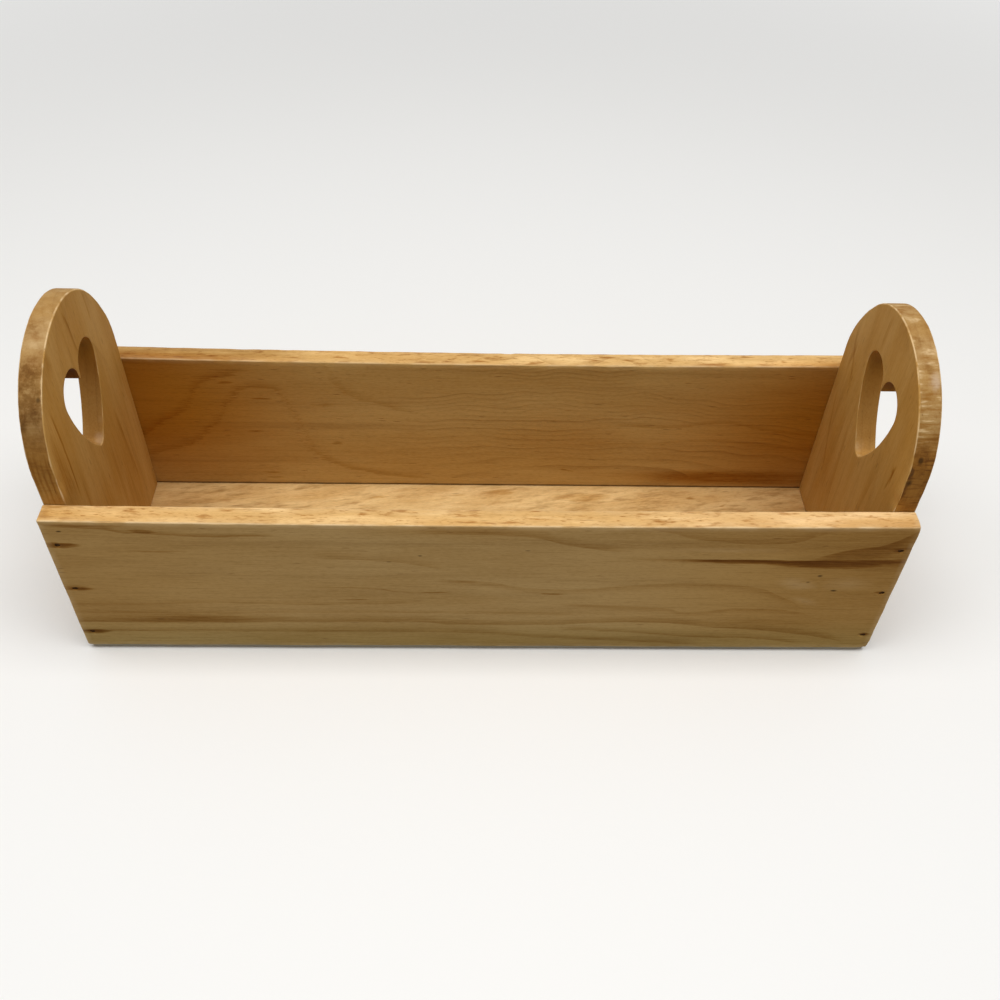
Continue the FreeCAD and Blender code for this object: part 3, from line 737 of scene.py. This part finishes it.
backWood = {
    **plainWood,
    "pale": (0.600, 0.395, 0.142), "warm": (0.535, 0.325, 0.100), "brown": (0.27, 0.128, 0.026),
    "umber": (0.150, 0.048, 0.003), "shine": (0.66, 0.44, 0.160),
    "pith": (12, 92), "ringGap": 3.0, "ringsFrom": (-110, -30), "taperFrom": 60, "taper": 0.00025,
    "wander": 8, "wanderLength": 45, "ringDepth": 0.62, "ringSharpness": 2.6, "tear": 22, "sway": 3.4,
    "topPaleAndLitTint": (1.22, 1.17, 1.27), "bandDepth": 0.34, "fleckDepth": 0.2, "arrisWearAndHighlight": 0.6,
    "shadeTint": (0.80, 0.52, 0.13),
    "shades": [
        mark((-215, innerFace, 72), (140, 10, 92), 0.8, 0.95),
        mark((-168, innerFace, 88), (44, 10, 30), 1.0, 0.5),
        mark((226, innerFace, 60), (150, 10, 100), 0.9, 0.95),
        mark((160, innerFace, 13), (94, 10, 12), 0.8, 0.6),
        mark((60, innerFace, 50), (60, 10, 30), 1.0, 0.2),
    ],
    "lines": [
        grainLine([(-232, 22), (-210, 30.4), (-190, 36.6), (-176, 47.5), (-165, 59), (-157, 74), (-142, 85),
                   (-128, 84), (-122, 75), (-117, 60), (-113, 45), (-108, 31), (-92, 19.5), (-69, 13),
                   (-30, 9)], 8, 0.34),
        grainLine([(-232, 40), (-212, 48.7), (-198, 58.6), (-187, 66), (-174, 86.8), (-155, 95),
                   (-138, 99)], 9, 0.36),
        grainLine([(-110, 112), (-95, 101.3), (-92, 91), (-84, 80.6), (-73, 76.1), (-40, 64)], 9, 0.24),
        grainLine([(80, 60), (120, 56), (150, 60), (190, 53), (232, 50)], 4, 0.24),
        grainLine([(60, 47), (100, 43), (140, 47), (190, 42), (232, 40)], -4, 0.14),
    ],
    "stains": [
        mark((-158, innerFace, 89.7), (7, 3, 1.4), 0.7, 0.6),
        mark((-137, innerFace, 77.2), (9, 3, 1.1), 0.6, 0.6),
        mark((-143, innerFace, 50.2), (6, 3, 0.8), 0.6, 0.5),
        mark((-138, innerFace, 14), (9, 3, 1.0), 0.6, 0.5),
        mark((-136, innerFace, 9.5), (8, 3, 0.8), 0.6, 0.4),
        mark((-93, innerFace, 40.5), (5, 3, 1.4), 0.6, 0.4),
        mark((-100, innerFace, 72.6), (10, 3, 2.4), 0.8, 0.3),
        mark((55.3, innerFace, 18.4), (6, 3, 0.9), 0.6, 0.6, (0, 15, 0)),
        mark((170, innerFace, 13), (78, 6, 9), 0.8, 0.75),
        mark((-205, 68, boardTop), (130, 14, 8), 0.6, 0.25),
        mark((-190, 71.5, boardTop), (50, 4, 3), 0.8, 0.5),
        mark((-183, 66.0, boardTop), (7, 3, 3), 0.8, 0.4),
        mark((-152, 69.6, boardTop), (7, 3.4, 3), 0.8, 0.45),
        mark((-128, 70.5, boardTop), (9, 2.6, 3), 0.8, 0.4),
        mark((-87, 69.5, boardTop), (8, 2.6, 3), 0.9, 0.35),
    ],
    "specksAndShadowLines": [
        # a painted shadow line along the joint with the bottom sheet
        mark((0, innerFace, 3.0), (900, 4, 2.3), 0.5, 0.85),
        mark((-205, 68, boardTop), (130, 14, 8), 0.6, 0.26),
    ],
}


endPanel = {
    "arris": 0.9, "heartArris": 0.7, "heartWearAndHighlight": 0.45, "sideGap": 0.12,
    "lobeRadius": 12.6, "lobeOffset": 13.6, "lobeLevel": 140.8, "cleftRadius": 1.0,
    "tipRadius": 4.8, "tipLevel": 97.5, "flankRadius": 86,
    "eyeLevel": 122,  # rays from this height on the middle line shape both outlines
    "rays": 260, "wallRings": 6, "arrisRings": 4, "faceRings": 16,
    "archSteps": 120, "heartSteps": (6, 60, 40, 12),  # in the cleft, a lobe, a flank and the tip
    "shoulderWidth": 0.4,  # radians over which the flat shoulder fades out
    # sawn by hand, so the two ends differ a little
    "cut": {
        "left": {"heartShift": (1.4, 0.4), "tipLevel": 98.2, "archDrop": 0.0, "shoulderAngle": 32,
                 "shoulderLoss": 2.0},
        "right": {"heartShift": (0.3, -1.3), "archDrop": 2.0, "shoulderAngle": 34, "shoulderLoss": 2.6},
    },
    "wear": {
        "left": {"seed": 3, "wave": 0.18, "rub": 0.5, "dents": [
            dent((leftMiddle, -60, 150), 12, 0.5),
            dent((leftFace, -58, 120), 6, 0.7),
        ]},
        "right": {"seed": 4, "wave": 0.18, "rub": 0.5, "dents": [
            dent((rightFace, -59, 112), 6, 0.9),
            dent((rightMiddle, -60.5, 127), 9, 0.5),
        ]},
    },
}


def arcPoints(middle, radius, fromAngle, toAngle, count):
    turns = [fromAngle + (toAngle - fromAngle) * k / count for k in range(count + 1)]
    return [(middle[0] + radius * math.cos(a), middle[1] + radius * math.sin(a)) for a in turns]


# the arched outline, drawn in by inset, from the lower back corner round to the lower front; the back
# shoulder was cut a little flat
def archLoop(panel, half, bottom, top, inset):
    springing = top - half
    arch = []
    for y, z in arcPoints((0, springing), half - inset, 0, math.pi, panel["archSteps"]):
        rise = (z - springing) * (1 - panel["archDrop"] / half)
        turn = math.atan2(z - springing, y) - math.radians(panel["shoulderAngle"])
        off = turn / panel["shoulderWidth"]
        keep = 1 - panel["shoulderLoss"] / half * math.exp(-off * off)
        arch.append((y * keep, springing + rise * keep))
    return [(half - inset, bottom + inset)] + arch + [(-half + inset, bottom + inset)]


# the heart, let out by grow: cleft, lobe, flank and tip are arcs that meet smoothly
def heartLoop(panel, grow):
    lobe = (panel["lobeOffset"], panel["lobeLevel"])
    tip = (0.0, panel["tipLevel"])
    lobeRadius, tipRadius = panel["lobeRadius"], panel["tipRadius"]
    flankRadius = panel["flankRadius"]
    # the flank touches the lobe and the tip from inside, so its middle lies at known distances from both
    toLobe, toTip = flankRadius - lobeRadius, flankRadius - tipRadius
    gap = math.dist(lobe, tip)
    along = (toTip ** 2 - toLobe ** 2 + gap ** 2) / (2 * gap)
    off = math.sqrt(toTip ** 2 - along ** 2)
    ux, uz = (lobe[0] - tip[0]) / gap, (lobe[1] - tip[1]) / gap
    flank = (tip[0] + ux * along - uz * off, tip[1] + uz * along + ux * off)
    cleft = (0.0, panel["lobeLevel"])
    lobeEnd = math.atan2(lobe[1] - flank[1], lobe[0] - flank[0])
    tipEnd = math.atan2(tip[1] - flank[1], tip[0] - flank[0])
    inCleft, inLobe, inFlank, inTip = panel["heartSteps"]
    right = arcPoints(cleft, panel["cleftRadius"] - grow, -math.pi / 2, 0, inCleft)
    right += arcPoints(lobe, lobeRadius + grow, math.pi, lobeEnd, inLobe)[1:]
    right += arcPoints(flank, flankRadius + grow, lobeEnd, tipEnd, inFlank)[1:]
    right += arcPoints(tip, tipRadius + grow, tipEnd, -math.pi / 2, inTip)[1:]
    left = [(-y, z) for y, z in reversed(right[1:-1])]
    shiftY, shiftZ = panel["heartShift"]
    return [(y + shiftY, z + shiftZ) for y, z in right + left]


# where the ray from eye in direction angle leaves a closed loop of (y, z) points
def rayHit(loop, eye, angle):
    dy, dz = math.cos(angle), math.sin(angle)
    best = None
    for k, (y1, z1) in enumerate(loop):
        y2, z2 = loop[(k + 1) % len(loop)]
        ey, ez = y2 - y1, z2 - z1
        cross = dy * ez - dz * ey
        if abs(cross) < 1e-12:
            continue
        reach = ((y1 - eye[0]) * ez - (z1 - eye[1]) * ey) / cross
        where = ((y1 - eye[0]) * dz - (z1 - eye[1]) * dy) / cross
        if reach > 0 and -1e-9 <= where <= 1 + 1e-9 and (best is None or reach > best):
            best = reach
    return eye[0] + dy * best, eye[1] + dz * best


# ray directions, in turning order: evenly spaced along the heart, and one to each lower corner
def rayAngles(panel, heart, arch, eye):
    length = [0.0]
    for k in range(len(heart)):
        length.append(length[-1] + math.dist(heart[k], heart[(k + 1) % len(heart)]))
    angles = [math.atan2(z - eye[1], y - eye[0]) for y, z in (arch[0], arch[-1])]
    step = length[-1] / panel["rays"]
    k = 0
    for n in range(panel["rays"]):
        while length[k + 1] < n * step:
            k += 1
        t = (n * step - length[k]) / (length[k + 1] - length[k])
        (y1, z1), (y2, z2) = heart[k], heart[(k + 1) % len(heart)]
        angles.append(math.atan2(z1 + (z2 - z1) * t - eye[1], y1 + (y2 - y1) * t - eye[0]))
    return sorted(angles)


def makeEndPanel(name, low, high, panel):
    half = (high.y - low.y) / 2 / mm - panel["sideGap"]
    bottom, top = low.z / mm, high.z / mm
    thick = (high.x - low.x) / mm
    middleX = (low.x + high.x) / 2 / mm
    eye = (0.0, panel["eyeLevel"])
    angles = rayAngles(panel, heartLoop(panel, 0), archLoop(panel, half, bottom, top, 0), eye)
    rim, bevel, turns = panel["arris"], panel["heartArris"], panel["arrisRings"]

    def archRing(inset):
        loop = archLoop(panel, half, bottom, top, inset)
        return [rayHit(loop, eye, a) for a in angles]

    def heartRing(grow):
        loop = heartLoop(panel, grow)
        return [rayHit(loop, eye, a) for a in angles]

    # rings of (outline, x, arris) from the middle of the heart's wall to the middle of the rim
    quarter = [math.pi / 2 * k / turns for k in range(turns + 1)]
    rings = []
    wall = heartRing(0)
    for k in range(1, panel["wallRings"]):
        rings.append((wall, (thick / 2 - bevel) * k / panel["wallRings"], 0.0))
    for a in quarter:
        # the heart's arris gets the pale edge of wear and its painted highlight
        wornAndHighlight = panel["heartWearAndHighlight"] * math.sin(2 * a) ** 2
        rings.append((heartRing(bevel * (1 - math.cos(a))), thick / 2 - bevel * (1 - math.sin(a)), wornAndHighlight))
    inner, outer = heartRing(bevel), archRing(rim)
    for k in range(1, panel["faceRings"]):
        t = k / panel["faceRings"]
        t = 0.5 - 0.5 * math.cos(math.pi * t)  # closer together near both edges
        ring = [(i[0] + (o[0] - i[0]) * t, i[1] + (o[1] - i[1]) * t) for i, o in zip(inner, outer)]
        rings.append((ring, thick / 2, 0.0))
    for a in quarter:
        x = thick / 2 - rim * (1 - math.cos(a))
        rings.append((archRing(rim * (1 - math.sin(a))), x, math.sin(2 * a)))
    rimRing = archRing(0)
    for k in reversed(range(1, panel["wallRings"])):
        rings.append((rimRing, (thick / 2 - rim) * k / panel["wallRings"], 0.0))
    rings = [(wall, 0.0, 0.0)] + rings + [(rimRing, 0.0, 0.0)]
    rings += [(ring, -x, edge) for ring, x, edge in reversed(rings[1:-1])]

    points, arris, faces = [], [], []
    for ring, x, edge in rings:
        for y, z in ring:
            points.append(Vector((middleX + x, y, z)) * mm)
            arris.append(edge)
    count = len(angles)
    for r in range(len(rings)):
        here, there = r * count, ((r + 1) % len(rings)) * count
        for k in range(count):
            after = (k + 1) % count
            faces.append([here + k, there + k, there + after, here + after])
    return meshObject(name, points, faces, arris)


endWood = {
    **plainWood,
    "along": "Z",
    "pale": (0.57, 0.325, 0.094), "warm": (0.50, 0.258, 0.056), "brown": (0.27, 0.114, 0.018),
    # the colour of hand dirt, also used for painted shade in the hand-hole
    "umber": (0.120, 0.040, 0.003), "shine": (0.60, 0.37, 0.115), "handDirtAndShade": (0.10, 0.050, 0.016),
    "cloudLength": 90, "cloudWidth": 22, "bandLength": 90, "bandWidth": 6,
    "fibreDepth": 0.15, "pith": (20, -150), "ringGap": 5.0, "taperFrom": 60, "taper": 0.0006, "wander": 5,
    "wanderLength": 80, "ruffle": (2.2, 3.5, 9), "sway": 1.2, "endTint": (1.06, 1.04, 1.0),
    "topPaleAndLitTint": (1.0, 1.0, 1.0), "blotchDepth": 0.0, "arrisWearAndHighlight": 0.75, "arrisLeast": 0.1,
    "sawn": True, "rimTint": (0.79, 0.90, 1.40), "rimDirt": 0.45,
    "holeLevel": 124, "holeReach": (30, 44, 50),  # the hand-hole lies inside this ball
    # over these heights the heart's wall goes from its painted cool reflection to its painted shade
    "wallFade": (108, 140),
}

endMarks = {
    "left": {
        "middleX": leftMiddle, "rimRipple": 0.22, "bleachFrom": (130, 160),
        "wallReflectionAndShadeTints": ((0.94, 1.05, 1.6), (0.73, 0.60, 0.32)),
        # dirt from gripping hands, with painted shade under the top of the hand-hole
        "gripDirtAndShade": [
            mark((leftMiddle, 0, 128), (20, 46, 54), 0.5, 0.62),
            mark((leftMiddle, 0, 158), (20, 38, 27), 0.7, 1.5),
            mark((leftMiddle, -56, 138), (20, 22, 36), 0.8, 0.7),
        ],
        "lines": [
            grainLine([(92, -43.4), (130, -42.4), (150, -43.6), (160, -44.6)], 2.2, 0.75),
            grainLine([(40, -38), (80, -36.5), (112, -35)], 5, 0.22),
            grainLine([(30, 36), (68, 32.4), (86, 30.3), (100, 29)], -4, 0.34),
            grainLine([(150, 9), (158, 7.6), (170, 6.4), (182, 4)], -3, 0.42, 7),
            grainLine([(152, 33), (163, 33.8), (176, 32)], 3, 0.30, 7),
            grainLine([(20, 6), (60, 8), (90, 5)], 6, 0.20),
        ],
        "stains": [
            mark((leftFace, -46, 112), (4, 2.4, 26), 0.9, 0.35),
            mark((leftFace, -51, 120), (4, 10, 36), 1.0, 0.4),
            mark((-217.6, -61, 124), (1.2, 5, 26), 0.9, 0.42),
            mark((-220.4, -61, 122), (0.9, 5, 28), 0.9, 0.40),
            mark((-222.8, -61, 124), (0.9, 5, 28), 0.9, 0.40),
            mark((-225.2, -61, 126), (1.1, 5, 26), 0.9, 0.42),
            mark((leftFace, -30, 172), (4, 7, 10), 1.0, 0.22),
            mark((leftFace, 20, 50), (5, 50, 56), 1.0, 0.10),
        ],
        "rimMarks": [
            mark((-223, -46, 165), (14, 18, 18), 0.7, 0.62),
            mark((-222, -37, 174), (12, 13, 13), 0.9, 0.75),
            mark((-226, -52, 156), (5, 8, 9), 0.8, 1.0),
            mark((-219, -50, 159), (5, 7, 8), 0.8, 0.8),
            mark((-226, -43, 168), (4, 7, 6), 0.8, 0.8),
            mark((-218, -37, 173), (4, 7, 5), 0.8, 0.5),
            mark((leftMiddle, -58, 146), (10, 8, 9), 1.0, 0.35),
            mark((-223, -14, 184), (8, 9, 6), 0.9, 0.34),
        ],
        "paleSpotsAndHighlights": [
            # paler wood at the heart's tip and along its lower arris, with a painted highlight where it
            # faces up into the light
            mark((leftFace - 2, 3, 96), (5, 6, 5), 0.8, 0.26),
            mark((leftFace - 1, 11, 106), (3, 3, 10), 0.8, 0.08),
        ],
        "specksAndShadowLines": [
            mark((-217, -46, 165), (1.6, 1.6, 2.2), 0.8, 0.6),
        ],
    },
    "right": {
        "middleX": rightMiddle, "rimRipple": 0.7, "bleachFrom": (138, 160),
        "wallReflectionAndShadeTints": ((0.97, 1.02, 1.25), (0.96, 0.90, 0.75)),
        # dirt from gripping hands, with painted shade under the top of the hand-hole
        "gripDirtAndShade": [
            mark((rightMiddle, 0, 134), (20, 46, 54), 0.5, 0.62),
            mark((rightMiddle, 0, 158), (20, 38, 26), 0.7, 1.5),
            mark((222, -58, 130), (20, 20, 36), 0.7, 0.8),
        ],
        "lines": [
            grainLine([(40, 33), (60, 40), (80, 47), (100, 51)], 3, 0.34),
            grainLine([(108, 38), (124, 44), (136, 50), (148, 52)], -4, 0.36, 10),
            grainLine([(20, 12), (70, 18), (100, 20)], 5, 0.20),
            grainLine([(104, -43), (118, -45.4), (128, -47)], 2.5, 0.5, 6),
            grainLine([(40, -20), (80, -26), (110, -30)], 6, 0.18),
            grainLine([(150, 16), (165, 17), (182, 14)], -5, 0.22, 10),
        ],
        "stains": [
            mark((rightFace, 47, 128), (4, 2.6, 15), 0.9, 0.34, (8, 0, 0)),
            mark((rightFace, -44.5, 118), (4, 1.6, 7), 0.8, 0.5, (-12, 0, 0)),
            mark((rightFace, 30, 50), (5, 50, 56), 1.0, 0.10),
        ],
        "rimMarks": [
            mark((216.2, -59, 135), (2.2, 5, 7), 0.8, 1.1),
            mark((216, -60, 122), (2.2, 5, 9), 0.8, 0.9),
            mark((222, -56, 142), (12, 10, 15), 0.9, 0.42),
            mark((218, -14, 184), (6, 8, 6), 0.9, 0.32),
            mark((rightMiddle, -28, 179), (6, 6, 6), 0.9, 0.30),
        ],
        "paleSpotsAndHighlights": [
            # the heart's tip: a painted highlight where it faces up into the light, on wood gone pale
            mark((rightFace + 2, 1, 96), (6, 7, 6), 0.9, 0.45),
            mark((224, -36, 175), (5, 9, 7), 0.9, 0.35),
        ],
        "specksAndShadowLines": [
            mark((219.4, -58.3, 141.6), (2.0, 3, 2.8), 0.7, 0.75),
            mark((217.0, -60.5, 127.7), (2.5, 3, 3.6), 0.8, 0.72),
        ],
    },
}


def buildEndPanel(end):
    low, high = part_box(f"{end}_end_panel")
    panel = makeEndPanel(f"{end}EndWood", low, high, {**endPanel, **endPanel["cut"][end]})
    wearDown(panel, endPanel["wear"][end])
    finish = makeWood(f"{end}EndFinish", {**endWood, **endMarks[end]})
    dress(panel, finish, "end_wood", f"{end}_end_panel")
    print(end, "end panel built,", len(panel.data.polygons), "faces")


bottomSheet = {
    "shape": {"arris": 0.35, "arrisBand": 0.7, "grid": (4.0, 4.0, 1.2)},
    "wear": {"seed": 5, "wave": 0.05, "rub": 0.2, "dents": []},
    "corner": 2.0,
    "mouth": {"length": 1.5, "height": 1.0, "depth": 0.95, "sides": 12, "ragged": 0.2},
}

sheetWood = {
    **plainWood,
    "along": "flatX",
    "pale": (0.76, 0.520, 0.232), "warm": (0.63, 0.392, 0.150), "brown": (0.36, 0.198, 0.060),
    "umber": (0.20, 0.085, 0.022), "shine": (0.84, 0.56, 0.27), "topPaleAndLitTint": (1.0, 1.0, 1.0),
    "topFrom": 2, "edgeColour": ((0.50, 0.46, 0.36), (0.25, 0.21, 0.15)),
    "cloudLength": 46, "cloudWidth": 12, "bandLength": 15, "bandWidth": 3.4, "bandDepth": 0.8,
    "pith": (-10, 60), "ringGap": 2.4, "taper": 0.0012, "wander": 12, "wanderLength": 40,
    "blotchDepth": 0.5, "blotch": (14, 3.4), "arrisWearAndHighlight": 0.1, "rough": 0.66,
    "slant": 8, "fleckDepth": 0.22, "calm": 0.3,
    # painted shade on the tray floor next to both end panels
    "shades": [
        mark((-225, 20, sheetTop), (150, 110, 4), 1.0, 0.8),
        mark((225, 20, sheetTop), (180, 120, 4), 0.9, 1.0),
    ],
    "shadeTint": (0.73, 0.65, 0.56),
    "stains": [
        mark((66, 50, sheetTop), (22, 5, 1), 0.6, 0.5, (0, 0, 4)),
        mark((13, 54, sheetTop), (12, 3, 1), 0.7, 0.45, (0, 0, 3)),
        mark((140, 50, sheetTop), (5, 1.4, 1), 0.6, 0.6),
        mark((160, 42, sheetTop), (1.6, 1.2, 1), 0.6, 0.9),
        mark((-70, 48, sheetTop), (10, 1.6, 1), 0.7, 0.5, (0, 0, 8)),
        mark((-17, 51, sheetTop), (9, 1.4, 1), 0.7, 0.45, (0, 0, 6)),
    ],
}


# rounds the four corners of the sheet as seen from above
def roundInPlan(piece, low, high, radius):
    reachX, reachY = high.x - radius * mm, high.y - radius * mm
    for v in piece.data.vertices:
        dx, dy = abs(v.co.x) - reachX, abs(v.co.y) - reachY
        if dx > 0 and dy > 0:
            keep = max(dx, dy) / math.hypot(dx, dy)
            v.co.x = math.copysign(reachX + dx * keep, v.co.x)
            v.co.y = math.copysign(reachY + dy * keep, v.co.y)


def buildBottomSheet():
    low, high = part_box("bottom_panel")
    sheet = makePlank("bottomSheetWood", low, high, bottomSheet["shape"])
    wearDown(sheet, bottomSheet["wear"])
    roundInPlan(sheet, low, high, bottomSheet["corner"])
    brads = [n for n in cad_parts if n.startswith("brad_")]
    spots = [(Vector((middleOf(n).x, middleOf(n).y, low.z)), Vector((0, 0, 1))) for n in sorted(brads)]
    cutMouths(sheet, spots, bottomSheet["mouth"])
    dress(sheet, makeWood("bottomSheetFinish", sheetWood), "bottom_wood", "bottom_panel")
    print("bottom sheet built,", len(sheet.data.polygons), "faces")


plugShape = {
    "length": 1.65, "height": 1.1, "recess": 0.12, "dish": 0.35, "depth": 1.3, "sides": 18, "rings": 4,
    "ragged": 0.12, "lumps": 0.12,
}


# a dished plug of old filler that stands a little back from the face
def makePlug(name, middle, inward, plug, seed):
    lengthwise, upright = crossAxes(inward)
    points, faces = [], []
    sides, rings = plug["sides"], plug["rings"]
    levelsIn = [(1.0, plug["depth"])]
    levelsIn += [(1 - k / rings, plug["recess"] + plug["dish"] * math.sin(math.pi / 2 * k / rings))
                 for k in range(rings)]
    for share, depth in levelsIn:
        for k in range(sides):
            turn = 2 * math.pi * k / sides
            lump = noise.noise(Vector((math.cos(turn) * 2, math.sin(turn) * 2, seed * 3.7 + share * 2)))
            flat = lengthwise * math.cos(turn) * plug["length"] + upright * math.sin(turn) * plug["height"]
            points.append(middle + (flat * share * (1 + plug["ragged"] * lump)
                                    + inward * (depth + plug["lumps"] * lump)) * mm)
    points.append(middle + inward * (plug["recess"] + plug["dish"]) * mm)
    for r in range(len(levelsIn) - 1):
        for k in range(sides):
            a, b = r * sides + k, r * sides + (k + 1) % sides
            faces.append([a, a + sides, b + sides, b])
    last = (len(levelsIn) - 1) * sides
    faces += [[last + (k + 1) % sides, last + k, len(points) - 1] for k in range(sides)]
    faces.append(list(range(sides)))
    return meshObject(name, points, faces, [0.0] * len(points))


# spots and scratches are counts to the metre
fillerLook = {
    "dark": (0.026, 0.012, 0.005), "crumb": (0.095, 0.044, 0.016), "crumbs": 1400.0,
    "rough": (0.95, 0.8), "sheen": 0.02, "relief": 0.15,
}
steelLook = {
    "dull": (0.42, 0.41, 0.39), "bright": (0.58, 0.57, 0.55), "rust": (0.16, 0.065, 0.030),
    "rustSpots": 700.0, "scratches": (4000, 4000, 150), "metal": (0.1, 1.0), "rough": (0.8, 0.35),
    "relief": 0.05,
}


def makeFiller(look):
    finish, tree = startFinish("oldFiller")
    coords = addNode(tree, "TexCoord").outputs["Object"]
    crumbs = plainNoise(tree, coords, look["crumbs"], 4.0)[0]
    colour = blend(tree, easeBetween(tree, crumbs, 0.35, 0.7), look["dark"], look["crumb"])
    rough = easeBetween(tree, crumbs, 0.3, 0.7, *look["rough"])
    endFinish(tree, crumbs, 0.8, look["relief"], {"Base Color": colour, "Roughness": rough,
                                                  "Specular IOR Level": look["sheen"]})
    return finish


def makeNailSteel(look):
    finish, tree = startFinish("dulledSteel")
    coords = addNode(tree, "TexCoord").outputs["Object"]
    rust = plainNoise(tree, coords, look["rustSpots"], 4.0)[0]
    wireSpace = addNode(tree, "Mapping", {0: coords, 3: look["scratches"]}).outputs[0]
    colour = blend(tree, plainNoise(tree, wireSpace, 1.0, 2.0)[0], look["dull"], look["bright"])
    colour = blend(tree, easeBetween(tree, rust, 0.52, 0.68), colour, look["rust"])
    metal = easeBetween(tree, rust, 0.52, 0.68, *look["metal"])
    rough = easeBetween(tree, rust, 0.4, 0.7, *look["rough"])
    endFinish(tree, rust, 0.4, look["relief"], {"Base Color": colour, "Metallic": metal, "Roughness": rough})
    return finish


def buildFasteners():
    filler, steel = makeFiller(fillerLook), makeNailSteel(steelLook)
    seed = 0
    for face in ("front", "back"):
        for (end, level), (middle, inward) in zip(nailPlaces, plugSpots(face)):
            seed += 1
            plug = makePlug(f"plug_{face}_{end}_{level}", middle, inward, plugShape, seed)
            dress(plug, filler, "dark_filler", f"filler_{face}_{end}_{level}")
    for name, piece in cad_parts.items():
        if name.startswith(("nail_", "brad_")):
            piece.data.materials.clear()
            piece.data.materials.append(steel)
    print("plugs, nails and brads finished")


room = {
    "floorSize": 12.0, "floorColour": (0.88, 0.88, 0.87), "floorBounce": (0.58, 0.58, 0.57),
    "floorRough": 0.6, "floorFade": (0.6, 1.7),  # metres from the middle
    "backdrop": (0.93, 0.93, 0.92), "fill": 0.28, "fillColour": (0.97, 0.98, 1.0),
    "keyPlace": (0, -0.2, 1.7), "keyAim": (0, 0, 0.1), "keySize": (2.2, 0.9), "keyPower": 30,
    "keyColour": (1.0, 0.985, 0.96),
}


def buildRoom():
    half = room["floorSize"] / 2
    mesh = bpy.data.meshes.new("paleFloor")
    corners = [(-half, -half, 0), (half, -half, 0), (half, half, 0), (-half, half, 0)]
    mesh.from_pydata(corners, [], [(0, 1, 2, 3)])
    floor = bpy.data.objects.new("paleFloor", mesh)
    bpy.context.scene.collection.objects.link(floor)
    finish = bpy.data.materials.new("paleTable")
    finish.use_nodes = True
    tree = finish.node_tree
    seen = addNode(tree, "LightPath").outputs["Is Camera Ray"]
    shader = tree.nodes["Principled BSDF"]
    tree.links.new(blend(tree, seen, room["floorBounce"], room["floorColour"]), shader.inputs["Base Color"])
    shader.inputs["Roughness"].default_value = room["floorRough"]
    # far from the tote the floor runs into the backdrop without a line
    coords = addNode(tree, "TexCoord").outputs["Object"]
    reach = addNode(tree, "VectorMath", {0: coords}, operation="LENGTH").outputs["Value"]
    far = times(tree, easeBetween(tree, reach, *room["floorFade"]), seen)
    backdrop = addNode(tree, "Emission", {0: paint(room["backdrop"]), 1: 1.0})
    mixed = addNode(tree, "MixShader", {0: far, 1: shader.outputs[0], 2: backdrop.outputs[0]})
    tree.links.new(mixed.outputs[0], tree.nodes["Material Output"].inputs[0])
    floor.data.materials.append(finish)

    world = bpy.data.worlds.new("studio")
    bpy.context.scene.world = world
    world.use_nodes = True
    tree = world.node_tree
    tree.nodes.clear()
    rays = addNode(tree, "LightPath").outputs
    seen = strongest(tree, [rays[f"Is {kind} Ray"] for kind in ("Camera", "Glossy", "Transmission")])
    fill = addNode(tree, "Background", {0: paint(room["fillColour"]), 1: room["fill"]})
    backdrop = addNode(tree, "Background", {0: paint(room["backdrop"]), 1: 1.0})
    mixed = addNode(tree, "MixShader", {0: seen, 1: fill.outputs[0], 2: backdrop.outputs[0]})
    addNode(tree, "OutputWorld", {0: mixed.outputs[0]})

    lamp = bpy.data.lights.new("overhead", "AREA")
    lamp.shape = "RECTANGLE"
    lamp.size, lamp.size_y = room["keySize"]
    lamp.energy, lamp.color = room["keyPower"], room["keyColour"]
    key = bpy.data.objects.new("overhead", lamp)
    key.location = room["keyPlace"]
    aim = Vector(room["keyAim"]) - Vector(room["keyPlace"])
    key.rotation_euler = aim.to_track_quat("-Z", "Y").to_euler()
    bpy.context.scene.collection.objects.link(key)
    print("floor, world and lamp set")


view = {
    "place": (-0.00810, -0.43600, 0.49849),  # metres
    "yaw": -0.04244, "pitch": 0.79747, "roll": 0.03876,  # radians: turn left, look down, lean
    "lens": 37.568, "sensor": 36.0,
}


def buildCamera():
    yaw, pitch, roll = view["yaw"], view["pitch"], view["roll"]
    right = Vector((math.cos(yaw), math.sin(yaw), 0))
    level = Vector((-math.sin(yaw), math.cos(yaw), 0))
    ahead = level * math.cos(pitch) - Vector((0, 0, 1)) * math.sin(pitch)
    upward = level * math.sin(pitch) + Vector((0, 0, 1)) * math.cos(pitch)
    leanRight = right * math.cos(roll) + upward * math.sin(roll)
    leanUp = upward * math.cos(roll) - right * math.sin(roll)
    lens = bpy.data.cameras.new("camera")
    lens.lens, lens.sensor_width, lens.sensor_fit = view["lens"], view["sensor"], "HORIZONTAL"
    lens.clip_start = 0.01
    camera = bpy.data.objects.new("camera", lens)
    turn = Matrix((leanRight, leanUp, -ahead)).transposed()
    camera.matrix_world = Matrix.Translation(view["place"]) @ turn.to_4x4()
    bpy.context.scene.collection.objects.link(camera)
    bpy.context.scene.camera = camera
    print("camera set")


buildLongBoard("front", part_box("front_board"), frontBoard, frontWood)
buildLongBoard("back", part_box("back_board"), backBoard, backWood)
for end in ends:
    buildEndPanel(end)
buildBottomSheet()
buildFasteners()
buildRoom()
buildCamera()
bpy.context.scene.view_settings.view_transform = "Standard"
